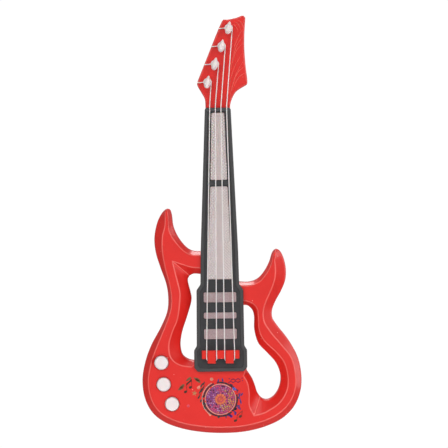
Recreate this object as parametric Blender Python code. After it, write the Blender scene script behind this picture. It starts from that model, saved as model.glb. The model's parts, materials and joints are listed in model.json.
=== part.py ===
"""Toy electric guitar with four nylon strings, three sound buttons and light windows.

The guitar is drawn lying on its back: x to the right, y towards the headstock, z up out
of its face, all in millimetres. An empty called "upright" then stands it up with its
face towards -Y, and every piece hangs under that empty.
"""

import math

import bmesh
import bpy
import numpy as np
from mathutils import Vector

MM = 0.001

# Heights above the flat back, from the back to the front.
TOTAL_DEPTH = 38.5
BACK_CHAMFER = 4.0
BACK_INSET = 1.5
NECK_BACK = 10.0
HEAD_BACK = 13.0
HEEL_START, HEEL_END = -22.0, -6.0
PARTING = 16.0
FLANK_FOOT = 21.0
HEAD_DECK = 27.0
DECK = 30.0
PLATE_TOP = 33.0
SKIN = 2.2
GAP = 0.3

# Places along and across the guitar.
NECK_X = -1.0
HEAD_START = 117.2
ROUND_SIDES = 20
CURVE_STEPS = 2

# Tuning pegs, lowest string last.
PEGS = [(10.8, 196.4), (3.6, 178.5), (-3.3, 160.6), (-10.9, 142.5)]
PEG_POST_R = 3.7
PEG_SHAFT_R = 2.2
PEG_LEAN = math.radians(-12)
WING_HALF_LENGTH = 6.5
WING_HALF_WIDTH = 2.3
STRING_R = 0.5

# Sound buttons on the bowl.
BUTTONS = [(-60.4, -137.6), (-58.3, -159.3), (-50.1, -179.0)]
BUTTON_R = 6.8
BUTTON_TRAVEL = 1.2
BOARD_TOP = 18.4

# Openings of the dark plate: left, right, bottom, top.
UPPER_WINDOW = [(-9.5, 44.2), (8.0, 44.2), (5.7, 112.0), (-7.7, 112.0)]
LOWER_WINDOW = [(-13.6, -55.0), (11.6, -55.0), (8.2, 38.3), (-9.7, 38.3)]
PICKUPS = [(-78.0, -67.5), (-94.2, -87.6), (-114.8, -104.0)]
PICKUP_HALF_WIDTH = 16.6

BRIDGE_LOW = -134.2
BRIDGE_HIGH = -125.6
BRIDGE_HALF_WIDTH = 18.8
HOOK_LOW = -138.7
HOOKS = [(-14.0, -5.9), (4.0, 12.0)]
NUT_STRINGS = [7.9, 2.2, -3.4, -9.1]
BRIDGE_STRINGS = [12.9, 3.1, -5.0, -14.9]

CASE_SCREWS = [(20.5, 197.0), (-1.0, 123.5), (-57.5, -20.0), (55.0, -50.0), (69.3, -155.0),
               (-44.0, -193.0), (-1.0, -143.0)]
BOSS_R = 4.6
SCREW_HEAD_R = 2.7
SCREW_SHANK_R = 1.3

SPEAKER = (NECK_X, -93.0)
SPEAKER_R = 18.0

# Battery bay in the back of the bowl.
DOOR_LEFT, DOOR_RIGHT = -34.0, 24.0
DOOR_BOTTOM, DOOR_TOP = -198.0, -151.5
DOOR_THICK = 1.8
DOOR_SCREW = (-38.5, -174.7)
DOOR_TONGUES = (-190.0, -177.0)
TRAY_DEPTH = 17.2
TRAY_WALL = 1.6
CELL_R = 7.25
CELL_HEIGHT = 9.8
CELL_LENGTH = 50.5
CELLS = [(-160.3, 1), (-174.95, -1), (-189.6, 1)]

SWITCH = (NECK_X, -124.0)
SWITCH_TRAVEL = 4.0

RED = (0.80, 0.045, 0.04)
DARK = (0.055, 0.054, 0.057)
PALE_RED = (0.42, 0.30, 0.31)
IVORY = (0.80, 0.76, 0.72)
STEEL = (0.55, 0.55, 0.56)
GREEN = (0.02, 0.16, 0.06)
BLACK = (0.02, 0.02, 0.02)

# Each row is one edge point (x, y) and the point of the deck's crease (x, y) beside it.
LEFT_HORN_TO_TIP = [
    (-19.0, -26.6, -17.6, -30.4), (-27.0, -26.1, -28.0, -30.2), (-33.5, -22.8, -35.2, -27.0),
    (-42.0, -12.5, -46.0, -15.2), (-47.0, -1.0, -51.2, -4.5), (-48.5, 10.5, -52.0, 9.5),
    (-50.2, 15.6, -53.0, 14.2), (-52.5, 16.6, -53.8, 15.2)]
LEFT_SIDE = [
    (-52.5, 16.6, -53.8, 15.2), (-55.4, 15.3, -54.7, 13.8), (-59.3, 10.7, -54.8, 8.0),
    (-63.3, 2.2, -55.0, 0.0), (-66.2, -13.0, -58.0, -13.0), (-64.9, -27.5, -57.8, -28.5),
    (-60.4, -42.6, -55.0, -44.5), (-54.8, -59.0, -51.3, -59.5), (-53.0, -72.0, -49.6, -71.5),
    (-54.0, -86.0, -50.3, -84.0), (-60.5, -101.8, -56.8, -102.5), (-70.5, -120.0, -65.3, -122.8),
    (-76.8, -137.0, -71.0, -139.0), (-79.8, -155.0, -73.7, -155.5), (-77.6, -173.2, -71.6, -171.5),
    (-70.5, -187.5, -65.5, -183.5), (-59.0, -197.2, -56.0, -191.6), (-41.0, -204.2, -39.5, -198.2)]
BOTTOM_AND_RIGHT = [
    (-41.0, -204.2, -39.5, -198.2), (-20.0, -208.1, -19.0, -201.9), (1.5, -209.3, 1.5, -202.8),
    (22.0, -208.1, 20.5, -201.8), (43.0, -203.2, 40.5, -197.2), (60.0, -195.2, 56.0, -190.0),
    (71.7, -183.8, 66.5, -180.0), (78.2, -169.5, 72.4, -168.0), (79.9, -155.0, 73.9, -154.0),
    (76.7, -135.0, 70.1, -135.0), (67.5, -117.0, 60.6, -122.0), (55.4, -101.0, 48.0, -106.5),
    (51.3, -94.0, 42.7, -97.0), (51.1, -86.5, 42.2, -86.8), (54.5, -77.6, 45.2, -76.8),
    (60.5, -66.8, 51.0, -63.8), (64.8, -56.0, 54.2, -53.5), (65.4, -44.5, 54.7, -44.0),
    (63.0, -33.5, 54.0, -36.5), (60.0, -27.5, 54.9, -31.5), (57.2, -25.3, 55.3, -28.4),
    (55.2, -25.2, 54.7, -27.6)]
RIGHT_HORN_TO_NECK = [
    (55.2, -25.2, 54.7, -27.6), (52.2, -28.2, 53.2, -30.4), (48.7, -38.2, 51.0, -39.2),
    (43.9, -47.0, 46.3, -48.6), (37.5, -54.2, 39.0, -57.2), (29.0, -57.7, 29.4, -61.2),
    (18.0, -57.5, 16.6, -61.2)]
LEFT_HOLE_OUTER = [
    (-19.9, -49.5, -19.9, -43.2), (-27.0, -49.0, -31.5, -41.8), (-31.3, -50.8, -48.4, -36.0)]
LEFT_HOLE_SIDE = [
    (-31.3, -50.8, -48.4, -36.0), (-33.2, -54.8, -44.8, -51.0), (-30.7, -67.0, -41.2, -67.0),
    (-29.6, -74.5, -41.4, -76.0), (-34.5, -92.5, -44.0, -94.5), (-39.5, -107.5, -49.5, -107.8),
    (-41.3, -120.5, -52.9, -121.5), (-39.0, -130.5, -50.5, -133.5), (-33.5, -134.7, -42.0, -140.0),
    (-26.4, -136.5, -28.0, -142.5)]
LEFT_SPINE = [
    (-26.4, -136.5, -25.4, -137.5), (-26.4, -126.0, -25.2, -126.0), (-24.2, -121.5, -23.0, -121.5),
    (-23.3, -66.0, -22.1, -66.0), (-19.9, -60.5, -18.9, -60.0), (-19.9, -49.5, -18.9, -49.5)]
RIGHT_HOLE_SIDE = [
    (22.0, -81.0, 22.0, -76.2), (26.6, -81.6, 30.0, -78.4), (31.2, -86.0, 35.8, -84.2),
    (33.0, -92.5, 36.9, -91.5), (33.1, -106.0, 37.9, -106.5), (37.0, -119.5, 43.2, -117.2),
    (45.9, -129.4, 54.0, -127.6), (54.5, -139.6, 62.6, -138.8), (58.9, -153.0, 66.2, -154.0),
    (56.8, -165.3, 64.6, -167.5), (51.0, -173.5, 57.5, -179.0), (45.5, -176.2, 49.0, -185.2),
    (41.0, -175.6, 40.0, -189.8), (37.8, -173.2, 31.7, -191.7)]
RIGHT_HOLE_FOLD = [
    (37.8, -173.2, 31.7, -191.7), (35.2, -169.0, 27.4, -182.5), (33.2, -162.5, 27.2, -169.5),
    (30.3, -155.0, 25.6, -159.0), (24.9, -146.6, 21.0, -150.5)]
RIGHT_SPINE = [
    (24.9, -146.6, 23.7, -146.0), (24.9, -126.0, 23.7, -126.0), (21.9, -121.5, 20.7, -121.5),
    (22.0, -81.0, 20.8, -81.0)]
NECK_RIGHT = [(17.6, -56.0), (11.3, 116.8)]
HEAD_THROAT_RIGHT = [(11.3, 116.8), (11.8, 121.0), (13.8, 127.0), (17.6, 133.2), (28.3, 140.0)]
HEAD_RIGHT = [(28.3, 140.0), (29.0, 141.6), (27.4, 159.0), (26.4, 176.0), (26.6, 190.0), (27.7, 206.8)]
HEAD_TOP = [(27.7, 206.8), (25.2, 209.0), (19.5, 207.2), (11.0, 205.4), (5.6, 205.2)]
HEAD_LEFT = [(5.6, 205.2), (3.9, 202.8), (-20.6, 144.4)]
HEAD_THROAT_LEFT = [(-20.6, 144.4), (-21.4, 140.6), (-17.4, 132.8), (-13.9, 126.0), (-13.3, 117.0)]
NECK_LEFT = [(-13.3, 117.0), (-18.7, -25.5)]
EDGE_CREASE = 1.2

PLATE_RIGHT_SIDE = [
    (11.4, 116.9), (13.0, 115.3), (18.7, -25.0), (19.4, -59.8), (23.4, -65.4), (23.8, -121.2),
    (26.5, -125.6), (26.5, -143.0), (22.9, -147.0)]


def clear_scene():
    for thing in list(bpy.data.objects):
        bpy.data.objects.remove(thing, do_unlink=True)


def smooth_run(rows, steps=CURVE_STEPS):
    """Centripetal Catmull-Rom points through the rows; the last row is left to the next run."""
    rows = np.array(rows, float)
    if len(rows) == 2:
        return [rows[0]]
    ends = np.vstack([2 * rows[0] - rows[1], rows, 2 * rows[-1] - rows[-2]])
    points = []
    for before, start, end, after in zip(ends, ends[1:], ends[2:], ends[3:]):
        lead, span, trail = (math.sqrt(np.linalg.norm(b[:2] - a[:2])) for a, b in
                             ((before, start), (start, end), (end, after)))
        leave = span * ((start - before) / lead - (end - before) / (lead + span)
                        + (end - start) / span)
        arrive = span * ((end - start) / span - (after - start) / (span + trail)
                         + (after - end) / trail)
        for step in range(steps):
            t = step / steps
            points.append((2 * t ** 3 - 3 * t ** 2 + 1) * start + (t ** 3 - 2 * t ** 2 + t) * leave
                          + (3 * t ** 2 - 2 * t ** 3) * end + (t ** 3 - t ** 2) * arrive)
    return points


def inward_normals(loop):
    """Unit normals of a closed counter-clockwise loop, pointing to its inside."""
    along = np.roll(loop, -1, axis=0) - np.roll(loop, 1, axis=0)
    normal = np.stack([-along[:, 1], along[:, 0]], axis=1)
    return normal / np.linalg.norm(normal, axis=1)[:, None]


def paired_loop(runs):
    """(edge loop, crease loop) of runs that state both."""
    rows = np.array([row for run in runs for row in smooth_run(run)])
    return rows[:, :2], rows[:, 2:]


def body_loops():
    """Edge and crease loops of the whole outline, then of the two holes."""
    body = [smooth_run(run) for run in
            (LEFT_HORN_TO_TIP, LEFT_SIDE, BOTTOM_AND_RIGHT, RIGHT_HORN_TO_NECK)]
    body = np.array([row for run in body for row in run] + [RIGHT_HORN_TO_NECK[-1]])
    head = [smooth_run(run) for run in (NECK_RIGHT, HEAD_THROAT_RIGHT, HEAD_RIGHT, HEAD_TOP,
                                        HEAD_LEFT, HEAD_THROAT_LEFT, NECK_LEFT)]
    head = np.array([row for run in head for row in run] + [NECK_LEFT[-1]])
    edge = np.vstack([body[:, :2], head])
    inside = inward_normals(edge)[len(body):]
    crease = np.vstack([body[:, 2:], head + EDGE_CREASE * inside])
    left = paired_loop([LEFT_HOLE_OUTER, LEFT_HOLE_SIDE, LEFT_SPINE])
    right = paired_loop([RIGHT_HOLE_SIDE, RIGHT_HOLE_FOLD, RIGHT_SPINE])
    # The right hole is listed clockwise, so it is turned round.
    right = (right[0][::-1], right[1][::-1])
    return (edge, crease), left, right


def wall_loop(pair, is_hole, slope_part):
    """The inside of a wall, slope_part of the way up its flank."""
    edge, crease = pair
    inward = inward_normals(edge) * (-1 if is_hole else 1)
    loop = edge + (crease - edge) * slope_part + SKIN * inward
    if is_hole:
        return loop
    # In a narrow tip the two walls would cross, so points past the middle are left out.
    reach = np.linalg.norm(loop - edge, axis=1)
    apart = np.linalg.norm(loop[:, None] - edge[None], axis=2)
    return loop[(apart >= 0.97 * reach[None]).all(axis=1)]


def signed_area(loop):
    x, y = np.array(loop, float).T
    return 0.5 * float(np.dot(x, np.roll(y, -1)) - np.dot(y, np.roll(x, -1)))


def loft(levels):
    """A closed body through stacked levels. A level is (loops, height)."""
    bm = bmesh.new()
    rings = [[[bm.verts.new((x, y, height)) for x, y in loop] for loop in loops]
             for loops, height in levels]
    for lower, upper in zip(rings, rings[1:]):
        for low, high in zip(lower, upper):
            for i in range(len(low)):
                bm.faces.new((low[i - 1], low[i], high[i], high[i - 1]))
    for level in (rings[0], rings[-1]):
        rim = [bm.edges.get((ring[i - 1], ring[i])) for ring in level for i in range(len(ring))]
        bmesh.ops.triangle_fill(bm, use_beauty=True, edges=rim)
    bmesh.ops.recalc_face_normals(bm, faces=bm.faces)
    return bm


def prism(loop, low, high):
    return loft([([loop], low), ([loop], high)])


def box(left, right, bottom, top, low, high):
    return prism([(left, bottom), (right, bottom), (right, top), (left, top)], low, high)


def circle(centre, radius, sides=ROUND_SIDES):
    turns = [2 * math.pi * i / sides for i in range(sides)]
    return [(centre[0] + radius * math.cos(a), centre[1] + radius * math.sin(a)) for a in turns]


def disc(centre, radius, low, high, sides=ROUND_SIDES):
    return prism(circle(centre, radius, sides), low, high)


def turned(profile, centre=(0.0, 0.0), sides=ROUND_SIDES):
    """A body turned about the line through centre; profile is (radius, height), closed."""
    bm = bmesh.new()
    rings = []
    for radius, height in profile:
        if radius < 1e-6:
            rings.append([bm.verts.new((centre[0], centre[1], height))] * sides)
        else:
            rings.append([bm.verts.new((x, y, height)) for x, y in circle(centre, radius, sides)])
    closed = all(radius > 1e-6 for radius, _ in profile)
    pairs = list(zip(rings, rings[1:])) + ([(rings[-1], rings[0])] if closed else [])
    for low, high in pairs:
        for i in range(sides):
            corners = []
            for corner in (low[i - 1], low[i], high[i], high[i - 1]):
                if corner not in corners:
                    corners.append(corner)
            if len(corners) > 2:
                bm.faces.new(corners)
    bmesh.ops.recalc_face_normals(bm, faces=bm.faces)
    return bm


def side_prism(profile, left, right):
    """A body of constant (y, z) profile between two x."""
    bm = bmesh.new()
    ends = [[bm.verts.new((x, y, z)) for y, z in profile] for x in (left, right)]
    for i in range(len(profile)):
        bm.faces.new((ends[0][i - 1], ends[0][i], ends[1][i], ends[1][i - 1]))
    bm.faces.new(ends[0])
    bm.faces.new(ends[1])
    bmesh.ops.recalc_face_normals(bm, faces=bm.faces)
    return bm


def rounded(loop, radius, steps=3):
    """The loop with its corners rounded."""
    points = [Vector(p) for p in loop]
    result = []
    for i, corner in enumerate(points):
        back = (points[i - 1] - corner).normalized()
        ahead = (points[(i + 1) % len(points)] - corner).normalized()
        for step in range(steps + 1):
            t = step / steps
            start, end = corner + back * radius, corner + ahead * radius
            result.append(tuple(start * (1 - t) ** 2 + corner * 2 * t * (1 - t) + end * t ** 2))
    return result


def shrunk(loop, distance):
    """A counter-clockwise loop drawn in by a distance."""
    loop = np.array(loop, float)
    return loop + distance * inward_normals(loop)


def material(name, colour, roughness, metallic=0.0, alpha=1.0):
    made = bpy.data.materials.new(name)
    made.use_nodes = True
    shader = made.node_tree.nodes["Principled BSDF"]
    shader.inputs["Base Color"].default_value = (*colour, 1.0)
    shader.inputs["Roughness"].default_value = roughness
    shader.inputs["Metallic"].default_value = metallic
    shader.inputs["Alpha"].default_value = alpha
    return made


def as_mesh(bm, name, pivot=(0.0, 0.0, 0.0)):
    """Millimetres about the pivot become a mesh in metres."""
    for vert in bm.verts:
        vert.co = (vert.co - Vector(pivot)) * MM
    mesh = bpy.data.meshes.new(name)
    bm.to_mesh(mesh)
    bm.free()
    mesh.shade_smooth()
    mesh.set_sharp_from_angle(angle=math.radians(35))
    return mesh


def place(thing, upright, pivot=(0.0, 0.0, 0.0)):
    bpy.context.collection.objects.link(thing)
    thing.parent = upright
    thing.location = Vector(pivot) * MM
    return thing


def piece(upright, name, bm, look, pivot=(0.0, 0.0, 0.0)):
    """One named sub-part with its own material, its origin at the pivot."""
    made = place(bpy.data.objects.new(name, as_mesh(bm, name, pivot)), upright, pivot)
    made.data.materials.append(material(name, *look))
    return made


def guide(upright, name, bm, pivot=(0.0, 0.0, 0.0)):
    """A body that only shapes others."""
    made = place(bpy.data.objects.new(name, as_mesh(bm, name, pivot)), upright, pivot)
    made.hide_render = True
    made.display_type = "WIRE"
    return made


def reshape(target, body, operation):
    """A Boolean that joins a body or a guide to the target, or cuts it out."""
    name = f"{target.name}_{operation.lower()}_{len(target.modifiers)}"
    if not isinstance(body, bpy.types.Object):
        body = guide(target.parent, name, body, target.location / MM)
    step = target.modifiers.new(name, "BOOLEAN")
    step.operation = operation
    step.object = body
    # Long chains of cuts leave open slivers with the EXACT solver.
    step.solver = "MANIFOLD" if target.name.endswith("shell") else "EXACT"


def tube(upright, name, points, radius, look, sides_level=2):
    """A round cord or wire along points, with flat ends."""
    curve = bpy.data.curves.new(name, "CURVE")
    curve.dimensions = "3D"
    curve.bevel_depth = radius * MM
    curve.bevel_resolution = sides_level
    curve.use_fill_caps = True
    spline = curve.splines.new("POLY")
    spline.points.add(len(points) - 1)
    for slot, point in zip(spline.points, points):
        slot.co = (*(Vector(point) * MM), 1.0)
    made = place(bpy.data.objects.new(name, curve), upright)
    curve.materials.append(material(name, *look))
    return made


def slope_share(height):
    """How far up the flank a height is, from 0 at its foot to 1 at the crease."""
    return (height - FLANK_FOOT) / (DECK - FLANK_FOOT)


def wall_between(bm, low, high):
    for i in range(len(low)):
        bm.faces.new((low[i - 1], low[i], high[i], high[i - 1]))


def fill_between(bm, rings):
    """A flat face between closed rings, one inside another."""
    rim = [bm.edges.get((ring[i - 1], ring[i])) or bm.edges.new((ring[i - 1], ring[i]))
           for ring in rings for i in range(len(ring))]
    bmesh.ops.triangle_fill(bm, use_beauty=True, edges=rim)


def hollow_shell(outside, inside):
    """A thin-walled tray. Both sides are (loops, height) levels from the rim to the floor."""
    bm = bmesh.new()
    faces = []
    for levels in (outside, inside):
        rings = [[[bm.verts.new((x, y, height)) for x, y in loop] for loop in loops]
                 for loops, height in levels]
        for lower, upper in zip(rings, rings[1:]):
            for low, high in zip(lower, upper):
                if len(low) == len(high) and low[0].co.z != high[0].co.z:
                    wall_between(bm, low, high)
                else:
                    fill_between(bm, [low, high])
        fill_between(bm, rings[-1])
        faces.append(rings[0])
    for outer_ring, inner_ring in zip(*faces):
        fill_between(bm, [outer_ring, inner_ring])
    bmesh.ops.recalc_face_normals(bm, faces=bm.faces)
    return bm


def merged(bodies):
    """Several separate bodies as one mesh."""
    whole = bmesh.new()
    for bm in bodies:
        kept = bpy.data.meshes.new("merging")
        bm.to_mesh(kept)
        bm.free()
        whole.from_mesh(kept)
        bpy.data.meshes.remove(kept)
    return whole


def boss(centre, radius, low, high):
    return disc(centre, radius, low, high, 16)


def walls_of(loops, slope_part):
    return [wall_loop(pair, number > 0, slope_part) for number, pair in enumerate(loops)]


def front_shell(upright, loops):
    edge, crease = zip(*loops)
    rim, shelf = PARTING + GAP / 2, FLANK_FOOT - SKIN
    foot, top = walls_of(loops, 0), walls_of(loops, slope_share(DECK - SKIN))
    tray = hollow_shell([(edge, rim), (edge, FLANK_FOOT), (crease, DECK)],
                        [(foot, rim), (foot, shelf), (top, shelf), (top, DECK - SKIN)])
    shell = piece(upright, "front_shell", tray, (RED, 0.38))
    head_slab = guide(upright, "head_slab", prism(shrunk(edge[0], 1.6), HEAD_DECK - SKIN, DECK - 1))
    reshape(head_slab, box(-40, 40, HEAD_START - SKIN, 220, 0, 40), "INTERSECT")
    reshape(shell, head_slab, "UNION")
    bosses = [boss(at, BOSS_R - 1.2, rim + GAP, (HEAD_DECK if at[1] > HEAD_START else DECK) - 1)
              for at in CASE_SCREWS]
    reshape(shell, merged(bosses), "UNION")
    reshape(shell, box(-40, 40, HEAD_START, 220, HEAD_DECK, 40), "DIFFERENCE")
    cuts = [boss(at, SCREW_SHANK_R + GAP, 0, HEAD_DECK - 3.5) for at in CASE_SCREWS]
    cuts += [disc(at, BUTTON_R + GAP, DECK - 5, DECK + 1, 24) for at in BUTTONS]
    cuts += [disc(at, PEG_SHAFT_R + GAP, HEAD_DECK - 5, HEAD_DECK + 1, 16) for at in PEGS]
    cuts += [prism(shrunk(window, 1.5), DECK - 5, DECK + 1) for window in (UPPER_WINDOW, LOWER_WINDOW)]
    cuts += [box(NECK_X - PICKUP_HALF_WIDTH + 2, NECK_X + PICKUP_HALF_WIDTH - 2,
                 low + 1.5, high - 1.5, DECK - 5, DECK + 1) for low, high in PICKUPS]
    reshape(shell, merged(cuts), "DIFFERENCE")
    return shell


def neck_relief():
    """Side profile of the space behind the neck and the headstock."""
    return side_prism([(HEEL_START, -5.0), (HEEL_START, 0.0), (HEEL_END, NECK_BACK),
                       (HEAD_START - 2, NECK_BACK), (HEAD_START + 6, HEAD_BACK),
                       (230.0, HEAD_BACK), (230.0, -5.0)], -34.0, 36.0)


def neck_skin(upright, edge):
    """The rear wall of the heel, the neck and the headstock."""
    low = 0.5
    outer = [(HEEL_START, 0.0), (HEEL_END, NECK_BACK), (HEAD_START - 2, NECK_BACK),
             (HEAD_START + 6, HEAD_BACK), (230.0, HEAD_BACK)]
    inner = [(y - SKIN, z + SKIN) for y, z in outer]
    band = side_prism([(y, max(z - low, low)) for y, z in outer] + inner[::-1], -24.0, 36.0)
    skin = guide(upright, "neck_skin", band)
    reshape(skin, prism(shrunk(edge, 1.6), -1.0, PARTING), "INTERSECT")
    return skin


def back_shell(upright, loops):
    edge = [pair[0] for pair in loops]
    inset = [shrunk(loop, -BACK_INSET if number else BACK_INSET) for number, loop in enumerate(edge)]
    foot, rim = walls_of(loops, 0), PARTING - GAP / 2
    tray = hollow_shell([(edge, rim), (edge, BACK_CHAMFER), (inset, 0)], [(foot, rim), (foot, SKIN)])
    shell = piece(upright, "back_shell", tray, (RED, 0.42))
    reshape(shell, neck_skin(upright, edge[0]), "UNION")
    wall = TRAY_WALL - 1
    added = [boss(at, BOSS_R, SKIN / 2, PARTING - GAP) for at in CASE_SCREWS]
    added.append(box(DOOR_LEFT - wall, DOOR_RIGHT + wall, DOOR_BOTTOM - wall, DOOR_TOP + wall,
                     SKIN / 2, TRAY_DEPTH + 1.4))
    reshape(shell, merged(added), "UNION")
    reshape(shell, boss(DOOR_SCREW, 3.4, SKIN / 2, 12), "UNION")
    x, y = DOOR_SCREW
    reshape(shell, box(x - 5.8, DOOR_LEFT - 0.3, y - 6.1, y + 6.1, SKIN / 2, SKIN + 2), "UNION")
    reshape(shell, neck_relief(), "DIFFERENCE")
    reshape(shell, merged(back_openings()), "DIFFERENCE")
    inner_cuts = [box(DOOR_LEFT + 1, DOOR_RIGHT - 1, DOOR_BOTTOM + 1, DOOR_TOP - 1, 1, TRAY_DEPTH)]
    x, y = SWITCH
    inner_cuts.append(box(x - 4.2, x + 4.2, y - 2.2, y + 2.2, 0.5, SKIN + 1))
    inner_cuts.append(boss(DOOR_SCREW, 1.9, 0.5, 10))
    reshape(shell, merged(inner_cuts), "DIFFERENCE")
    reshape(shell, merged([box(DOOR_RIGHT - 2, DOOR_RIGHT + 2.2, y - 4, y + 4, SKIN - 0.2, SKIN + 3)
                           for y in DOOR_TONGUES]), "DIFFERENCE")
    return shell


def back_openings():
    cuts = [prism(door_outline(0), -1, DOOR_THICK + GAP)]
    for at in CASE_SCREWS:
        seat = screw_seat(at)
        cuts.append(turned([(0, -1), (SCREW_HEAD_R + 0.5, -1), (SCREW_HEAD_R + 0.5, seat),
                            (SCREW_SHANK_R + GAP, seat), (SCREW_SHANK_R + GAP, PARTING + 1),
                            (0, PARTING + 1)], at, 16))
    for number in range(-3, 4):
        reach = math.sqrt(15.5 ** 2 - (4.4 * number) ** 2)
        y = SPEAKER[1] + 4.4 * number
        cuts.append(box(SPEAKER[0] - reach, SPEAKER[0] + reach, y - 1, y + 1, -1, SKIN + 1))
    x, y = SWITCH
    cuts.append(box(x - 9, x + 9, y - 4.5, y + 4.5, -1, 1.1))
    return cuts


def screw_seat(at):
    """Depth of a case screw's counterbore, measured from the flat back."""
    if at[1] > HEAD_START:
        return HEAD_BACK + 1.6
    return 6.0


def door_outline(clearance):
    """The battery door with the ear that its screw passes through."""
    left, right = DOOR_LEFT + clearance, DOOR_RIGHT - clearance
    bottom, top = DOOR_BOTTOM + clearance, DOOR_TOP - clearance
    ear, ear_left = 4.6 - clearance, DOOR_SCREW[0] - 4.2 + clearance
    middle = DOOR_SCREW[1]
    return [(left, bottom), (right, bottom), (right, top), (left, top), (left, middle + ear),
            (ear_left + 2, middle + ear), (ear_left, middle + ear - 2),
            (ear_left, middle - ear + 2), (ear_left + 2, middle - ear), (left, middle - ear)]


def battery_door(upright):
    pivot = (DOOR_RIGHT - 0.2, (DOOR_BOTTOM + DOOR_TOP) / 2, 0.0)
    door = piece(upright, "battery_door", prism(door_outline(GAP), 0, DOOR_THICK), (RED, 0.42), pivot)
    tongues = []
    for y in DOOR_TONGUES:
        tongues.append(box(DOOR_RIGHT - 2.6, DOOR_RIGHT - 1.4, y - 3, y + 3, 1, SKIN + 1.8))
        tongues.append(box(DOOR_RIGHT - 2.5, DOOR_RIGHT + 1, y - 3, y + 3, SKIN + 0.6, SKIN + 1.8))
    for tongue in tongues:
        reshape(door, tongue, "UNION")
    reshape(door, turned([(0, -1), (2.9, -1), (2.9, 0.9), (1.7, 0.9), (1.7, 3), (0, 3)],
                         DOOR_SCREW, 16), "DIFFERENCE")
    pivot = (*DOOR_SCREW, 0.0)
    screw = turned([(0, 0.2), (2.5, 0.2), (2.5, 0.6), (1.25, 0.6), (1.25, 7.5), (0, 8.6)],
                   DOOR_SCREW, 16)
    screw = piece(upright, "battery_door_screw", screw, (STEEL, 0.3, 1.0), pivot)
    cross_slots(screw, DOOR_SCREW, 0.0, 0.7)


def cross_slots(screw, at, low, high):
    """The cross recess of a screw's head."""
    x, y = at
    arm, half = 1.6, 0.3
    reshape(screw, box(x - arm, x + arm, y - half, y + half, low, high), "DIFFERENCE")
    reshape(screw, box(x - half, x + half, y - arm, y + arm, low, high), "DIFFERENCE")


def case_screws(upright):
    for number, at in enumerate(CASE_SCREWS, 1):
        seat = screw_seat(at)
        head = seat - GAP - 1.8
        profile = [(0, head), (SCREW_HEAD_R, head), (SCREW_HEAD_R, seat - GAP),
                   (SCREW_SHANK_R, seat - GAP), (SCREW_SHANK_R, 22.2), (0, 23.2)]
        screw = piece(upright, f"case_screw_{number}", turned(profile, at, 16), (STEEL, 0.3, 1.0))
        cross_slots(screw, at, head - 1, head + 0.8)


def plate_outline():
    right = [(NECK_X + x, y) for x, y in PLATE_RIGHT_SIDE]
    left = [(NECK_X - x, y) for x, y in PLATE_RIGHT_SIDE]
    return left + right[::-1]


def neck_plate(upright):
    outline = plate_outline()
    openings = [rounded(window, 2.0)[::-1] for window in (UPPER_WINDOW, LOWER_WINDOW)]
    openings += [rounded(pickup_frame(*span), 1.6)[::-1] for span in PICKUPS]
    low, rim = DECK + GAP, PLATE_TOP - 0.8
    top = shrunk(outline, 0.8)
    plate = piece(upright, "neck_plate",
                  loft([([outline] + openings, low), ([outline] + openings, rim),
                        ([top] + openings, PLATE_TOP)]), (DARK, 0.45))
    nut = box(NECK_X - 12.0, NECK_X + 12.0, 113.2, 116.2, PLATE_TOP - 1, PLATE_TOP + 0.8)
    reshape(plate, nut, "UNION")
    return plate


def pickup_frame(low, high):
    return [(NECK_X - PICKUP_HALF_WIDTH, low), (NECK_X + PICKUP_HALF_WIDTH, low),
            (NECK_X + PICKUP_HALF_WIDTH, high), (NECK_X - PICKUP_HALF_WIDTH, high)]


def windows(upright):
    clear = (PALE_RED, 0.25, 0.0, 0.75)
    for name, frame in (("upper_light_window", UPPER_WINDOW), ("lower_light_window", LOWER_WINDOW)):
        outline = shrunk(rounded(frame, 2.0), GAP)
        piece(upright, name, prism(outline, DECK + GAP, PLATE_TOP - 0.2), clear)
    for number, span in enumerate(PICKUPS, 1):
        outline = shrunk(rounded(pickup_frame(*span), 1.6), GAP)
        levels = [([outline], DECK + GAP), ([outline], PLATE_TOP + 0.4),
                  ([shrunk(outline, 0.6)], PLATE_TOP + 1.0)]
        piece(upright, f"pickup_window_{number}", loft(levels), clear)


def bridge(upright):
    low, bar_top = PLATE_TOP + GAP, PLATE_TOP + 3.0
    bar = [(NECK_X - BRIDGE_HALF_WIDTH, BRIDGE_LOW), (NECK_X + BRIDGE_HALF_WIDTH, BRIDGE_LOW),
           (NECK_X + BRIDGE_HALF_WIDTH, BRIDGE_HIGH), (NECK_X - BRIDGE_HALF_WIDTH, BRIDGE_HIGH)]
    made = piece(upright, "bridge",
                 loft([([bar], low), ([bar], bar_top - 0.6), ([shrunk(bar, 0.6)], bar_top)]),
                 (RED, 0.35))
    reshape(made, merged([box(left, right, HOOK_LOW, BRIDGE_HIGH, bar_top - 0.9, TOTAL_DEPTH)
                          for left, right in HOOKS]), "UNION")
    reshape(made, merged([box(left - 1, right + 1, HOOK_LOW + 1.2, BRIDGE_LOW - 0.1, PLATE_TOP - 1,
                              TOTAL_DEPTH - 1.8) for left, right in HOOKS]), "DIFFERENCE")
    return made


def leaf(centre, half_length, half_width, lean):
    """A leaf outline: rounded below, pointed above."""
    points = []
    for step in range(20):
        turn = 2 * math.pi * step / 20
        along = half_length * math.sin(turn)
        width = half_width * math.cos(turn) * (1.0 - 0.35 * math.sin(turn))
        points.append((centre[0] + width * math.cos(lean) - along * math.sin(lean),
                       centre[1] + width * math.sin(lean) + along * math.cos(lean)))
    return points


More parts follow.
